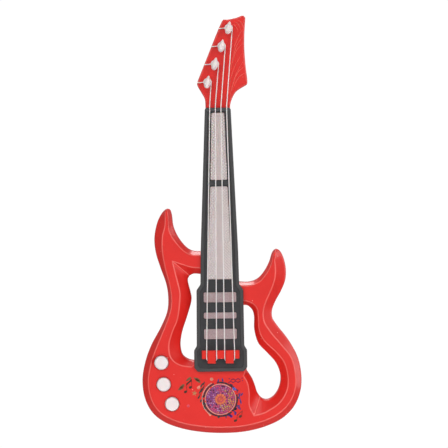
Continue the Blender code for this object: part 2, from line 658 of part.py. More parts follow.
def tuning_pegs(upright):
    for number, at in enumerate(PEGS, 1):
        profile = [(0, 20.0), (PEG_SHAFT_R, 20.0), (PEG_SHAFT_R, HEAD_DECK + GAP),
                   (PEG_POST_R, HEAD_DECK + GAP), (PEG_POST_R, 30.4), (0, 31.4)]
        pivot = (*at, HEAD_DECK)
        peg = piece(upright, f"tuning_peg_{number}", turned(profile, at), (IVORY, 0.4), pivot)
        wing = loft([([leaf(at, WING_HALF_LENGTH * part, WING_HALF_WIDTH * part, PEG_LEAN)], height)
                     for part, height in ((0.85, 30.0), (1.0, 31.6), (0.97, 34.5), (0.8, 37.0),
                                          (0.5, 38.0))])
        reshape(peg, wing, "UNION")
        reshape(peg, boss(at, 1.3, 19, 25), "DIFFERENCE")
        profile = [(0, 17.0), (3.0, 17.4), (3.0, 19.4), (1.0, 19.4), (1.0, 24.4), (0, 24.8)]
        screw = piece(upright, f"peg_screw_{number}", turned(profile, at, 16),
                      (STEEL, 0.3, 1.0), pivot)
        cross_slots(screw, at, 16, 18)


def peg_wrap(number):
    """The string's tail, its turn round the peg's post, and the way to the nut."""
    x, y = PEGS[number]
    reach = PEG_POST_R + GAP + STRING_R
    height = HEAD_DECK + 1.5
    tail = (x - 10.2, y - 0.4, height)
    turns = [math.radians(angle) for angle in (176, 150, 120, 90, 60, 30, 0, -12)]
    wrap = [(x + reach * math.cos(a), y + reach * math.sin(a), height) for a in turns]
    return [tail, (x - reach - 1.4, y - 0.2, height)] + wrap


def string_loop(upright, name, first, second, hook):
    """One nylon loop: peg, nut, round the bridge's hook, nut, peg."""
    nut_height = PLATE_TOP + 0.8 + GAP + STRING_R
    bar_height = PLATE_TOP + 3.0 + GAP + STRING_R
    low_height = PLATE_TOP + 1.6
    left, right = hook

    def half(number):
        over_bar = BRIDGE_STRINGS[number]
        return peg_wrap(number) + [
            (NUT_STRINGS[number], 118.0, nut_height - 0.3), (NUT_STRINGS[number], 114.8, nut_height),
            (over_bar, BRIDGE_HIGH + 1.5, bar_height), (over_bar, BRIDGE_LOW - 0.2, bar_height)]

    middle = BRIDGE_LOW - 1.7
    turn = [(right + 0.6, middle + 0.8, bar_height - 0.7), (right - 0.5, middle, low_height + 0.2),
            (right - 2.0, middle, low_height), (left + 2.0, middle, low_height),
            (left + 0.5, middle, low_height + 0.2), (left - 0.6, middle + 0.8, bar_height - 0.7)]
    points = half(first) + turn + half(second)[::-1]
    tube(upright, name, points, STRING_R, (IVORY, 0.35))


def sound_buttons(upright):
    for number, at in enumerate(BUTTONS, 1):
        pivot = (*at, DECK)
        profile = [(0, 21.5), (2.6, 21.5), (2.6, 26.0), (BUTTON_R + 1.4, 26.0),
                   (BUTTON_R + 1.4, DECK - SKIN - GAP), (BUTTON_R, DECK - SKIN - GAP),
                   (BUTTON_R, 31.4), (6.2, 32.4), (4.6, 33.2), (2.4, 33.6), (0, 33.7)]
        piece(upright, f"sound_button_{number}", turned(profile, at, 20), (IVORY, 0.35), pivot)
        foot = BOARD_TOP + 0.4 + BUTTON_TRAVEL
        profile = [(0, foot), (4.0, foot), (5.0, foot + 0.5), (4.6, foot + 1.2), (0, foot + 1.2)]
        piece(upright, f"button_pad_{number}", turned(profile, at, 16), (BLACK, 0.8), pivot)


def electronics(upright):
    board = [(-69.5, -133.5), (-71.0, -160.0), (-69.0, -173.0), (-59.0, -186.0), (-43.0, -186.0),
             (-43.0, -148.0), (-50.0, -133.5)]
    piece(upright, "sound_board", prism(board, BOARD_TOP - 1.6, BOARD_TOP), (GREEN, 0.5))
    low = BOARD_TOP + GAP
    blob = turned([(0, low), (4.2, low), (3.6, low + 1.1), (0, low + 1.6)], (-49.0, -148.0), 16)
    piece(upright, "sound_chip", blob, (BLACK, 0.4))
    piece(upright, "light_board", box(-7.0, 5.0, -50.0, 104.0, 20.6, 22.0), (GREEN, 0.5))
    for number, y in enumerate((88.0, 56.0, 8.0, -38.0), 1):
        profile = [(0, 22.3), (2.9, 22.3), (2.9, 23.3), (2.5, 23.3), (2.5, 25.2), (1.7, 26.6),
                   (0, 27.2)]
        piece(upright, f"light_led_{number}", turned(profile, (NECK_X, y), 16),
              ((0.7, 0.1, 0.08), 0.2))
    speaker(upright)
    switch(upright)


def speaker(upright):
    outer, low = SPEAKER_R, SKIN + 0.9
    frame = [(outer, low), (outer, low + 1.2), (outer - 3.5, low + 1.2), (9.0, low + 9.0),
             (7.0, low + 9.0), (7.0, low + 8.0), (8.4, low + 8.0), (outer - 4.8, low)]
    piece(upright, "speaker_frame", turned(frame, SPEAKER, 28), (STEEL, 0.4, 1.0))
    cone = [(0, low + 4.6), (4.5, low + 5.2), (6.5, low + 6.0), (outer - 5.6, low + 0.2),
            (outer - 5.4, low + 0.8), (7.2, low + 6.8), (0, low + 6.2)]
    piece(upright, "speaker_cone", turned(cone, SPEAKER, 28), (BLACK, 0.8))
    piece(upright, "speaker_magnet", turned([(0, low + 9.3), (9.4, low + 9.3), (9.4, low + 14.5),
                                             (0, low + 14.5)], SPEAKER, 28), (STEEL, 0.35, 1.0))
    ring = [(outer - 1.6, low + 1.5), (outer + 1.6, low + 1.5), (outer + 1.6, low + 3.3),
            (outer - 1.6, low + 3.3)]
    piece(upright, "speaker_ring", turned(ring, SPEAKER, 28), (DARK, 0.5))


def switch(upright):
    x, y = SWITCH
    knob_x = x - SWITCH_TRAVEL / 2
    knob = piece(upright, "power_switch_knob",
                 box(knob_x - 1.8, knob_x + 1.8, y - 1.8, y + 1.8, 0.2, SKIN + 1.5),
                 (BLACK, 0.5), (knob_x, y, 0.0))
    reshape(knob, box(knob_x - 5.5, knob_x + 5.5, y - 3.2, y + 3.2, SKIN + 0.3, SKIN + 1.5), "UNION")
    piece(upright, "power_switch_body", box(x - 8, x + 8, y - 4, y + 4, SKIN + 1.9, SKIN + 7),
          (STEEL, 0.4, 1.0))


def battery_bay(upright):
    middle = CELL_HEIGHT
    for number, (y, way) in enumerate(CELLS, 1):
        shift = 0.9 * way
        middle_x = (DOOR_LEFT + DOOR_RIGHT) / 2 + shift
        left, right = middle_x - CELL_LENGTH / 2, middle_x + CELL_LENGTH / 2
        ends = [(left, CELL_R), (right - 1.2, CELL_R), (right - 1.2, 2.6), (right, 2.6)]
        if way < 0:
            ends = [(left, 2.6), (left + 1.2, 2.6), (left + 1.2, CELL_R), (right, CELL_R)]
        piece(upright, f"battery_cell_{number}", sideways(ends, y, middle), (DARK, 0.3, 0.4))
        coil_x = left - GAP - 0.3 if way > 0 else right + GAP + 0.3
        coil = [(coil_x - way * 1.6 * turn / 30, y + (1.8 + turn / 30 * 2.2) * math.cos(turn * 0.6),
                 middle + (1.8 + turn / 30 * 2.2) * math.sin(turn * 0.6)) for turn in range(31)]
        tube(upright, f"battery_spring_{number}", coil, 0.25, (STEEL, 0.3, 1.0), 1)
    for side, x in (("left", DOOR_LEFT + 1.3), ("right", DOOR_RIGHT - 1.3)):
        strip = box(x - 0.15, x + 0.15, DOOR_BOTTOM + 2, DOOR_TOP - 2, 4.8, 16)
        piece(upright, f"battery_contact_{side}", strip,
              (STEEL, 0.3, 1.0))


def sideways(ends, y, z):
    """A round body along x from (x, radius) stations about the line at y, z."""
    bm = turned([(0, ends[0][0])] + [(r, x) for x, r in ends] + [(0, ends[-1][0])], (0, 0), 18)
    for vert in bm.verts:
        radial_a, radial_b, along = vert.co
        vert.co = (along, y + radial_a, z + radial_b)
    return bm


def wires(upright):
    routes = {
        "battery_wire_red": ([(-35.8, -156.0, 15.0), (-39.0, -156.5, 15.6), (-43.5, -158.0, 15.7),
                              (-48.0, -160.0, 15.9)], (0.6, 0.02, 0.02)),
        "battery_wire_black": ([(-35.9, -190.0, 14.0), (-38.0, -186.5, 15.2), (-42.5, -183.5, 15.6),
                                (-48.0, -182.0, 15.9)], BLACK),
        "speaker_wire": ([(-12.0, -113.5, 8.5), (-13.5, -120.0, 10.5), (-17.0, -130.0, 13.0),
                          (-25.0, -141.0, 15.0), (-35.0, -143.5, 15.4), (-45.0, -144.0, 15.7),
                          (-52.0, -144.5, 15.9)], (0.5, 0.4, 0.02)),
        "light_wire": ([(-4.0, -46.0, 19.4), (-6.0, -54.0, 20.6), (-10.0, -66.0, 22.5),
                        (-15.0, -85.0, 23.5), (-17.0, -110.0, 23.0), (-19.0, -130.0, 22.0),
                        (-25.0, -142.5, 21.0), (-36.0, -145.5, 20.6), (-44.0, -153.0, 20.4)],
                       (0.5, 0.5, 0.52))}
    for name, (route, colour) in routes.items():
        points = smooth_run(route) + [np.array(route[-1])]
        tube(upright, name, points, 0.6, (colour, 0.5))


def build():
    clear_scene()
    upright = bpy.data.objects.new("upright", None)
    bpy.context.collection.objects.link(upright)
    upright.rotation_euler = (math.pi / 2, 0, 0)
    upright.location = (0, TOTAL_DEPTH / 2 * MM, 0)
    loops = body_loops()
    front_shell(upright, loops)
    back_shell(upright, loops)
    neck_plate(upright)
    windows(upright)
    bridge(upright)
    tuning_pegs(upright)
    string_loop(upright, "string_loop_right", 0, 1, HOOKS[1])
    string_loop(upright, "string_loop_left", 2, 3, HOOKS[0])
    sound_buttons(upright)
    electronics(upright)
    battery_bay(upright)
    battery_door(upright)
    case_screws(upright)
    wires(upright)


build()
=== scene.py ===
"""Looks of the toy electric guitar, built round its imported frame.

Shapes are drawn lying on their backs, in millimetres: x to the right, y towards the headstock
and depth out of the face, counted from the flat back. to_world() stands them up.
"""

import json
import math
import random

import bmesh
import bpy
import numpy as np
from mathutils import Matrix, Vector
from mathutils.kdtree import KDTree


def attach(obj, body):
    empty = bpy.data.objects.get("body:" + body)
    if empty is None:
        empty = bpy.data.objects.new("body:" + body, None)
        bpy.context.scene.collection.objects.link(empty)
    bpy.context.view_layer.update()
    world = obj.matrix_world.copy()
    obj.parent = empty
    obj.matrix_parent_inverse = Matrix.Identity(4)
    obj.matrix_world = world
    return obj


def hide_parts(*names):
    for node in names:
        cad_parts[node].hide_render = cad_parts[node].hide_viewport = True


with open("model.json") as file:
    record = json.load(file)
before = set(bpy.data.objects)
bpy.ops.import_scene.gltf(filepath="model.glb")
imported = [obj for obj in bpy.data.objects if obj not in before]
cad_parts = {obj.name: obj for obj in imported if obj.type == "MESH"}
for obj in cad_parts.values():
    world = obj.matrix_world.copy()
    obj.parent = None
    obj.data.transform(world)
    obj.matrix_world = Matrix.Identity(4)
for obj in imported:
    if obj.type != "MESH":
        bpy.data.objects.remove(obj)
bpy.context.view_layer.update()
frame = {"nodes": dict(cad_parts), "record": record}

MM = 0.001
BACK_Y = 19.25
FLOOR_Z = -1.0
AIR_GLOW = 0.26
AIR_SEEN = 1.03

# Depths from the flat back.
PARTING = 16.0
FOOT = 21.0
HEAD_DECK = 27.0
DECK = 30.0
PLATE_FLOOR = 32.2
PLATE_TOP = 33.0
LENS_TOP = 32.4
SKIN = 2.2
GAP = 0.3
NECK_BACK = 10.0
HEAD_BACK = 13.0
NECK_X = -1.0
HEAD_START = 117.2
STEPS = 6

PEGS = [(10.8, 196.4), (3.6, 178.5), (-3.3, 160.6), (-10.9, 142.5)]
BUTTONS = [(-60.4, -137.6), (-58.3, -159.3), (-50.1, -179.0)]
BUTTON_R = 6.8
UPPER_WINDOW = [(-9.5, 44.2), (8.0, 44.2), (5.7, 112.0), (-7.7, 112.0)]
LOWER_WINDOW = [(-13.6, -55.0), (11.6, -55.0), (8.2, 38.3), (-9.7, 38.3)]
PICKUPS = [(-78.0, -67.5), (-94.2, -87.6), (-114.8, -104.0)]
PICKUP_HALF_WIDTH = 16.6
BRIDGE_LOW, BRIDGE_HIGH, BRIDGE_HALF_WIDTH = -134.2, -125.6, 18.8
HOOK_LOW = -138.7
HOOKS = [(-14.0, -5.9), (4.0, 12.0)]
NUT_STRINGS = [7.9, 2.2, -3.4, -9.1]
BRIDGE_STRINGS = [12.9, 3.1, -5.0, -14.9]
STRING_R = 0.5
STEM = 0.45
CASE_SCREWS = [(20.5, 197.0), (-1.0, 123.5), (-57.5, -20.0), (55.0, -50.0), (69.3, -155.0),
               (-44.0, -193.0), (-1.0, -143.0)]
SPEAKER = (NECK_X, -93.0)
DOOR_LEFT, DOOR_RIGHT, DOOR_BOTTOM, DOOR_TOP = -34.0, 24.0, -198.0, -151.5
DOOR_SCREW = (-38.5, -174.7)
DOOR_TONGUES = (-190.0, -177.0)
TRAY_DEPTH = 17.2
SWITCH = (NECK_X, -124.0)
BOSS_FOOT = 1.1
CAMERA_ROLL = math.radians(-0.68)

# Each row is one edge point (x, y) and the point of the deck's crease (x, y) beside it.
LEFT_HORN_TO_TIP = [
    (-19.0, -26.6, -17.6, -30.4), (-27.0, -26.1, -28.0, -30.2), (-33.5, -22.8, -35.2, -27.0),
    (-42.0, -12.5, -46.0, -15.2), (-47.0, -1.0, -51.2, -4.5), (-48.5, 10.5, -52.0, 9.5),
    (-50.2, 15.6, -53.0, 14.2), (-52.5, 16.6, -53.8, 15.2)]
LEFT_SIDE = [
    (-52.5, 16.6, -53.8, 15.2), (-55.4, 15.3, -54.7, 13.8), (-59.3, 10.7, -54.8, 8.0),
    (-63.3, 2.2, -55.0, 0.0), (-66.2, -13.0, -58.0, -13.0), (-64.9, -27.5, -57.8, -28.5),
    (-60.4, -42.6, -55.0, -44.5), (-54.8, -59.0, -51.3, -59.5), (-53.0, -72.0, -49.6, -71.5),
    (-54.0, -86.0, -50.3, -84.0), (-60.5, -101.8, -56.8, -102.5), (-70.5, -120.0, -65.3, -122.8),
    (-76.8, -137.0, -71.0, -139.0), (-79.8, -155.0, -73.7, -155.5), (-77.6, -173.2, -71.6, -171.5),
    (-70.5, -187.5, -65.5, -183.5), (-59.0, -197.2, -56.0, -191.6), (-41.0, -204.2, -39.5, -198.2)]
BOTTOM_AND_RIGHT = [
    (-41.0, -204.2, -39.5, -198.2), (-20.0, -208.1, -19.0, -201.9), (1.5, -209.3, 1.5, -202.8),
    (22.0, -208.1, 20.5, -201.8), (43.0, -203.2, 40.5, -197.2), (60.0, -195.2, 56.0, -190.0),
    (71.7, -183.8, 66.5, -180.0), (78.2, -169.5, 72.4, -168.0), (79.9, -155.0, 73.9, -154.0),
    (76.7, -135.0, 70.1, -135.0), (67.5, -117.0, 60.6, -122.0), (55.4, -101.0, 48.0, -106.5),
    (51.3, -94.0, 42.7, -97.0), (51.1, -86.5, 42.2, -86.8), (54.5, -77.6, 45.2, -76.8),
    (60.5, -66.8, 51.0, -63.8), (64.8, -56.0, 54.2, -53.5), (65.4, -44.5, 54.7, -44.0),
    (63.0, -33.5, 54.0, -36.5), (60.0, -27.5, 54.9, -31.5), (57.2, -25.3, 55.3, -28.4),
    (55.2, -25.2, 54.7, -27.6)]
RIGHT_HORN_TO_NECK = [
    (55.2, -25.2, 54.7, -27.6), (52.2, -28.2, 53.2, -30.4), (48.7, -38.2, 51.0, -39.2),
    (43.9, -47.0, 46.3, -48.6), (37.5, -54.2, 39.0, -57.2), (29.0, -57.7, 29.4, -61.2),
    (18.0, -57.5, 16.6, -61.2)]
LEFT_HOLE_OUTER = [
    (-19.9, -49.5, -19.9, -43.2), (-27.0, -49.0, -31.5, -41.8), (-31.3, -50.8, -48.4, -36.0)]
LEFT_HOLE_SIDE = [
    (-31.3, -50.8, -48.4, -36.0), (-33.2, -54.8, -44.8, -51.0), (-30.7, -67.0, -41.2, -67.0),
    (-29.6, -74.5, -41.4, -76.0), (-34.5, -92.5, -44.0, -94.5), (-39.5, -107.5, -49.5, -107.8),
    (-41.3, -120.5, -52.9, -121.5), (-39.0, -130.5, -50.5, -133.5), (-33.5, -134.7, -42.0, -140.0),
    (-26.4, -136.5, -28.0, -142.5)]
LEFT_SPINE = [
    (-26.4, -136.5, -25.4, -137.5), (-26.4, -126.0, -25.2, -126.0), (-24.2, -121.5, -23.0, -121.5),
    (-23.3, -66.0, -22.1, -66.0), (-19.9, -60.5, -18.9, -60.0), (-19.9, -49.5, -18.9, -49.5)]
RIGHT_HOLE_SIDE = [
    (22.0, -81.0, 22.0, -76.2), (26.6, -81.6, 30.0, -78.4), (31.2, -86.0, 35.8, -84.2),
    (33.0, -92.5, 36.9, -91.5), (33.1, -106.0, 37.9, -106.5), (37.0, -119.5, 43.2, -117.2),
    (45.9, -129.4, 54.0, -127.6), (54.5, -139.6, 62.6, -138.8), (58.9, -153.0, 66.2, -154.0),
    (56.8, -165.3, 64.6, -167.5), (51.0, -173.5, 57.5, -179.0), (45.5, -176.2, 49.0, -185.2),
    (41.0, -175.6, 40.0, -189.8), (37.8, -173.2, 31.7, -191.7)]
RIGHT_HOLE_FOLD = [
    (37.8, -173.2, 31.7, -191.7), (35.2, -169.0, 27.4, -182.5), (33.2, -162.5, 27.2, -169.5),
    (30.3, -155.0, 25.6, -159.0), (24.9, -146.6, 21.0, -150.5)]
RIGHT_SPINE = [
    (24.9, -146.6, 23.7, -146.0), (24.9, -126.0, 23.7, -126.0), (21.9, -121.5, 20.7, -121.5),
    (22.0, -81.0, 20.8, -81.0)]
HEAD_THROAT_RIGHT = [(11.3, 116.8), (11.8, 121.0), (13.8, 127.0), (17.6, 133.2), (28.3, 140.0)]
HEAD_RIGHT = [(28.3, 140.0), (29.0, 141.6), (27.4, 159.0), (26.4, 176.0), (26.6, 190.0),
              (27.7, 206.8)]
HEAD_TOP = [(27.7, 206.8), (25.2, 209.0), (19.5, 207.2), (11.0, 205.4), (5.6, 205.2)]
HEAD_LEFT = [(5.6, 205.2), (3.9, 202.8), (-20.6, 144.4)]
HEAD_THROAT_LEFT = [(-20.6, 144.4), (-21.4, 140.6), (-17.4, 132.8), (-13.9, 126.0), (-13.3, 117.0)]
NECK_CREASE = 1.2
PLATE_RIGHT_SIDE = [
    (11.4, 116.9), (13.0, 115.3), (18.7, -25.0), (19.4, -59.8), (23.4, -65.4), (23.8, -121.2),
    (26.5, -125.6), (26.5, -143.0), (22.9, -147.0)]


# ---------------------------------------------------------------- outlines

def smooth_run(rows, steps=STEPS):
    """Centripetal Catmull-Rom points through the rows; the last row is left to the next run."""
    rows = np.array(rows, float)
    if len(rows) == 2:
        return [rows[0] + (rows[1] - rows[0]) * step / steps for step in range(steps)]
    ends = np.vstack([2 * rows[0] - rows[1], rows, 2 * rows[-1] - rows[-2]])
    points = []
    for before, start, end, after in zip(ends, ends[1:], ends[2:], ends[3:]):
        lead, span, trail = (math.sqrt(np.linalg.norm(b[:2] - a[:2])) for a, b in
                             ((before, start), (start, end), (end, after)))
        leave = span * ((start - before) / lead - (end - before) / (lead + span)
                        + (end - start) / span)
        arrive = span * ((end - start) / span - (after - start) / (span + trail)
                         + (after - end) / trail)
        for step in range(steps):
            t = step / steps
            points.append((2 * t ** 3 - 3 * t ** 2 + 1) * start + (t ** 3 - 2 * t ** 2 + t) * leave
                          + (3 * t ** 2 - 2 * t ** 3) * end + (t ** 3 - t ** 2) * arrive)
    return points


def inward_normals(loop):
    """Unit normals of a closed counter-clockwise loop, pointing to its inside."""
    along = np.roll(loop, -1, axis=0) - np.roll(loop, 1, axis=0)
    normal = np.stack([-along[:, 1], along[:, 0]], axis=1)
    return normal / np.linalg.norm(normal, axis=1)[:, None]


def room(loop, normal, reach):
    """How far each point can go along its normal: at most reach, less in a narrow tip."""
    way = loop[None] - loop[:, None]
    ahead = (way * normal[:, None]).sum(axis=2)
    squared = (way ** 2).sum(axis=2)
    radius = np.where(ahead > 1e-4, squared / (2 * np.maximum(ahead, 1e-4)), 1e6)
    return np.minimum(reach, 0.75 * radius.min(axis=1))


def mitred(loop, distance):
    """A counter-clockwise loop drawn in by a distance, its corners kept."""
    loop = np.array(loop, float)
    way = np.roll(loop, -1, axis=0) - loop
    way /= np.linalg.norm(way, axis=1)[:, None]
    normal = np.stack([-way[:, 1], way[:, 0]], axis=1)
    before = np.roll(normal, 1, axis=0)
    both = normal + before
    return loop + distance * both * (2 / (both ** 2).sum(axis=1))[:, None]


def rounded(loop, radius, steps=4):
    """The loop with its corners rounded."""
    points = [Vector(p) for p in loop]
    result = []
    for i, corner in enumerate(points):
        back = points[i - 1] - corner
        ahead = points[(i + 1) % len(points)] - corner
        reach = min(radius, 0.48 * back.length, 0.48 * ahead.length)
        start, end = corner + back.normalized() * reach, corner + ahead.normalized() * reach
        for step in range(steps + 1):
            t = step / steps
            result.append(tuple(start * (1 - t) ** 2 + corner * 2 * t * (1 - t) + end * t ** 2))
    return result


def polar(centre, radius, turn):
    return (centre[0] + radius * math.cos(turn), centre[1] + radius * math.sin(turn))


def quarter(steps):
    """Angles from 0 to 90 degrees."""
    return [math.pi / 2 * step / steps for step in range(steps + 1)]


def circle(centre, radius, sides=48):
    return [polar(centre, radius, 2 * math.pi * i / sides) for i in range(sides)]


def rectangle(left, right, bottom, top):
    return [(left, bottom), (right, bottom), (right, top), (left, top)]


def body_pairs():
    """(edge, crease) of the body's outline with the neck, then of the two holes."""
    run = LEFT_HORN_TO_TIP + LEFT_SIDE[1:] + BOTTOM_AND_RIGHT[1:] + RIGHT_HORN_TO_NECK[1:]
    rows = np.array(smooth_run(run) + [np.array(run[-1])])
    neck = np.array([(17.6, -56.0), (16.9, -42.0), (14.4, 30.0), (11.3, 116.8), (-13.3, 117.0),
                     (-16.2, 40.0), (-18.7, -25.5)])
    edge = np.vstack([rows[:, :2], neck])
    crease = np.vstack([rows[:, 2:], neck + NECK_CREASE * inward_normals(edge)[len(rows):]])
    pairs = [(edge, crease)]
    for runs, step in (((LEFT_HOLE_OUTER, LEFT_HOLE_SIDE, LEFT_SPINE), 1),
                       ((RIGHT_HOLE_SIDE, RIGHT_HOLE_FOLD, RIGHT_SPINE), -1)):
        rows = np.array([row for run in runs for row in smooth_run(run)])[::step]
        pairs.append((rows[:, :2], rows[:, 2:]))
    return pairs


def head_outline():
    runs = (HEAD_THROAT_RIGHT, HEAD_RIGHT, HEAD_TOP, HEAD_LEFT, HEAD_THROAT_LEFT)
    points = [(11.55, 108.0)] + [tuple(p) for run in runs for p in smooth_run(run)]
    return np.array(points + [(-13.3, 117.0), (-13.65, 108.0)])


# ---------------------------------------------------------------- meshes

def facing_out(bm):
    bmesh.ops.recalc_face_normals(bm, faces=bm.faces)
    return bm


def fill_between(bm, rings):
    """A face between closed rings, one inside another."""
    rim = [bm.edges.get((ring[i - 1], ring[i])) or bm.edges.new((ring[i - 1], ring[i]))
           for ring in rings for i in range(len(ring))]
    bmesh.ops.triangle_fill(bm, use_beauty=True, edges=rim)


def ring_at(bm, loop, depth):
    """A ring of vertices; depth is one number or one for each point."""
    depths = np.broadcast_to(depth, len(loop))
    return [bm.verts.new((p[0], p[1], d)) for p, d in zip(loop, depths)]


def skin_between(bm, low, high):
    for i in range(len(low)):
        bm.faces.new((low[i - 1], low[i], high[i], high[i - 1]))


def strung(bm, sections):
    """A closed body through sections, each one a ring of vertices."""
    for low, high in zip(sections, sections[1:]):
        skin_between(bm, low, high)
    bm.faces.new(sections[0])
    bm.faces.new(sections[-1])
    return facing_out(bm)


def loft(levels):
    """A closed body through stacked levels. A level is (loops, depth)."""
    bm = bmesh.new()
    rings = [[ring_at(bm, loop, depth) for loop in loops] for loops, depth in levels]
    for lower, upper in zip(rings, rings[1:]):
        for low, high in zip(lower, upper):
            skin_between(bm, low, high)
    fill_between(bm, rings[0])
    fill_between(bm, rings[-1])
    return facing_out(bm)


def prism(loop, low, high):
    return loft([([loop], low), ([loop], high)])


def box(left, right, bottom, top, low, high):
    return prism(rectangle(left, right, bottom, top), low, high)


def cushion(loop, low, high, edge, foot=0.0, steps=4):
    """A prism with its upper edge rounded, and its lower edge too if foot is given."""
    loop = np.array(loop, float)
    turns = quarter(steps)
    levels = []
    if foot:
        levels += [([mitred(loop, foot * (1 - math.sin(a)))], low + foot * (1 - math.cos(a)))
                   for a in turns[:-1]]
    else:
        levels.append(([loop], low))
    levels += [([mitred(loop, edge * (1 - math.cos(a)))], high - edge * (1 - math.sin(a)))
               for a in turns]
    return loft(levels)


def turned(profile, centre=(0.0, 0.0), sides=48):
    """A body turned about the line through centre; profile is (radius, depth), closed."""
    bm = bmesh.new()
    rings = [[bm.verts.new((*centre, depth))] * sides if radius < 1e-6
             else ring_at(bm, circle(centre, radius, sides), depth) for radius, depth in profile]
    closed = all(radius > 1e-6 for radius, _ in profile)
    for low, high in list(zip(rings, rings[1:])) + ([(rings[-1], rings[0])] if closed else []):
        for i in range(sides):
            corners = list(dict.fromkeys((low[i - 1], low[i], high[i], high[i - 1])))
            if len(corners) > 2:
                bm.faces.new(corners)
    return facing_out(bm)


def merged(bodies):
    """Several separate bodies as one mesh."""
    whole = bmesh.new()
    for bm in bodies:
        kept = bpy.data.meshes.new("merging")
        bm.to_mesh(kept)
        bm.free()
        whole.from_mesh(kept)
        bpy.data.meshes.remove(kept)
    return whole


def as_object(bm, name):
    mesh = bpy.data.meshes.new(name)
    bm.to_mesh(mesh)
    bm.free()
    made = bpy.data.objects.new(name, mesh)
    bpy.context.scene.collection.objects.link(made)
    return made


def carved(bm, *changes):
    """The body after Boolean changes, each one (operation, other body)."""
    target = as_object(bm, "carving")
    tools = []
    for operation, other in changes:
        tool = as_object(other, "carving_tool")
        step = target.modifiers.new(operation, "BOOLEAN")
        step.operation = operation
        step.object = tool
        step.solver = "MANIFOLD"
        tools.append(tool)
    bpy.context.view_layer.update()
    shape = target.evaluated_get(bpy.context.evaluated_depsgraph_get()).to_mesh()
    result = bmesh.new()
    result.from_mesh(shape)
    for used in [target] + tools:
        bpy.data.objects.remove(used, do_unlink=True)
    return result


def to_world(bm):
    for vert in bm.verts:
        x, y, depth = vert.co
        vert.co = (x * MM, (BACK_Y - depth) * MM, y * MM)


def piece(name, bm, look, body="guitar_body", replaces=(), crisp=35, painted_highlight=None):
    """One visible piece, in place, riding on its body, with an optional painted highlight on its
    points.
    """
    highlight_levels = [painted_highlight(*vert.co) if painted_highlight else 0.0 for vert in bm.verts]
    to_world(bm)
    made = as_object(bm, name)
    if painted_highlight:
        made.data.attributes.new("painted_highlight", "FLOAT", "POINT").data.foreach_set("value", highlight_levels)
    made.data.materials.append(look)
    made.data.shade_smooth()
    made.data.set_sharp_from_angle(angle=math.radians(crisp))
    for face in made.data.polygons:
        if abs(face.normal.y) > 0.99999:
            face.use_smooth = False
    even = made.modifiers.new("even_normals", "WEIGHTED_NORMAL")
    even.keep_sharp = True
    return fixed(made, body, replaces)


def fixed(made, body, replaces):
    """Ties a piece to its body and the CAD nodes it stands in for."""
    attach(made, body)
    if replaces:
        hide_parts(*replaces)
    return made


def cord_piece(name, points, radius, look, replaces=()):
    """A smooth round string or wire through points (x, y, depth)."""
    curve = bpy.data.curves.new(name, "CURVE")
    curve.dimensions = "3D"
    curve.bevel_depth = radius * MM
    curve.bevel_resolution = 4
    curve.use_fill_caps = True
    spline = curve.splines.new("POLY")
    spline.points.add(len(points) - 1)
    for target, (x, y, depth) in zip(spline.points, points):
        target.co = (x * MM, (BACK_Y - depth) * MM, y * MM, 1.0)
    curve.materials.append(look)
    made = bpy.data.objects.new(name, curve)
    bpy.context.scene.collection.objects.link(made)
    return fixed(made, "guitar_body", replaces)


# ---------------------------------------------------------------- materials

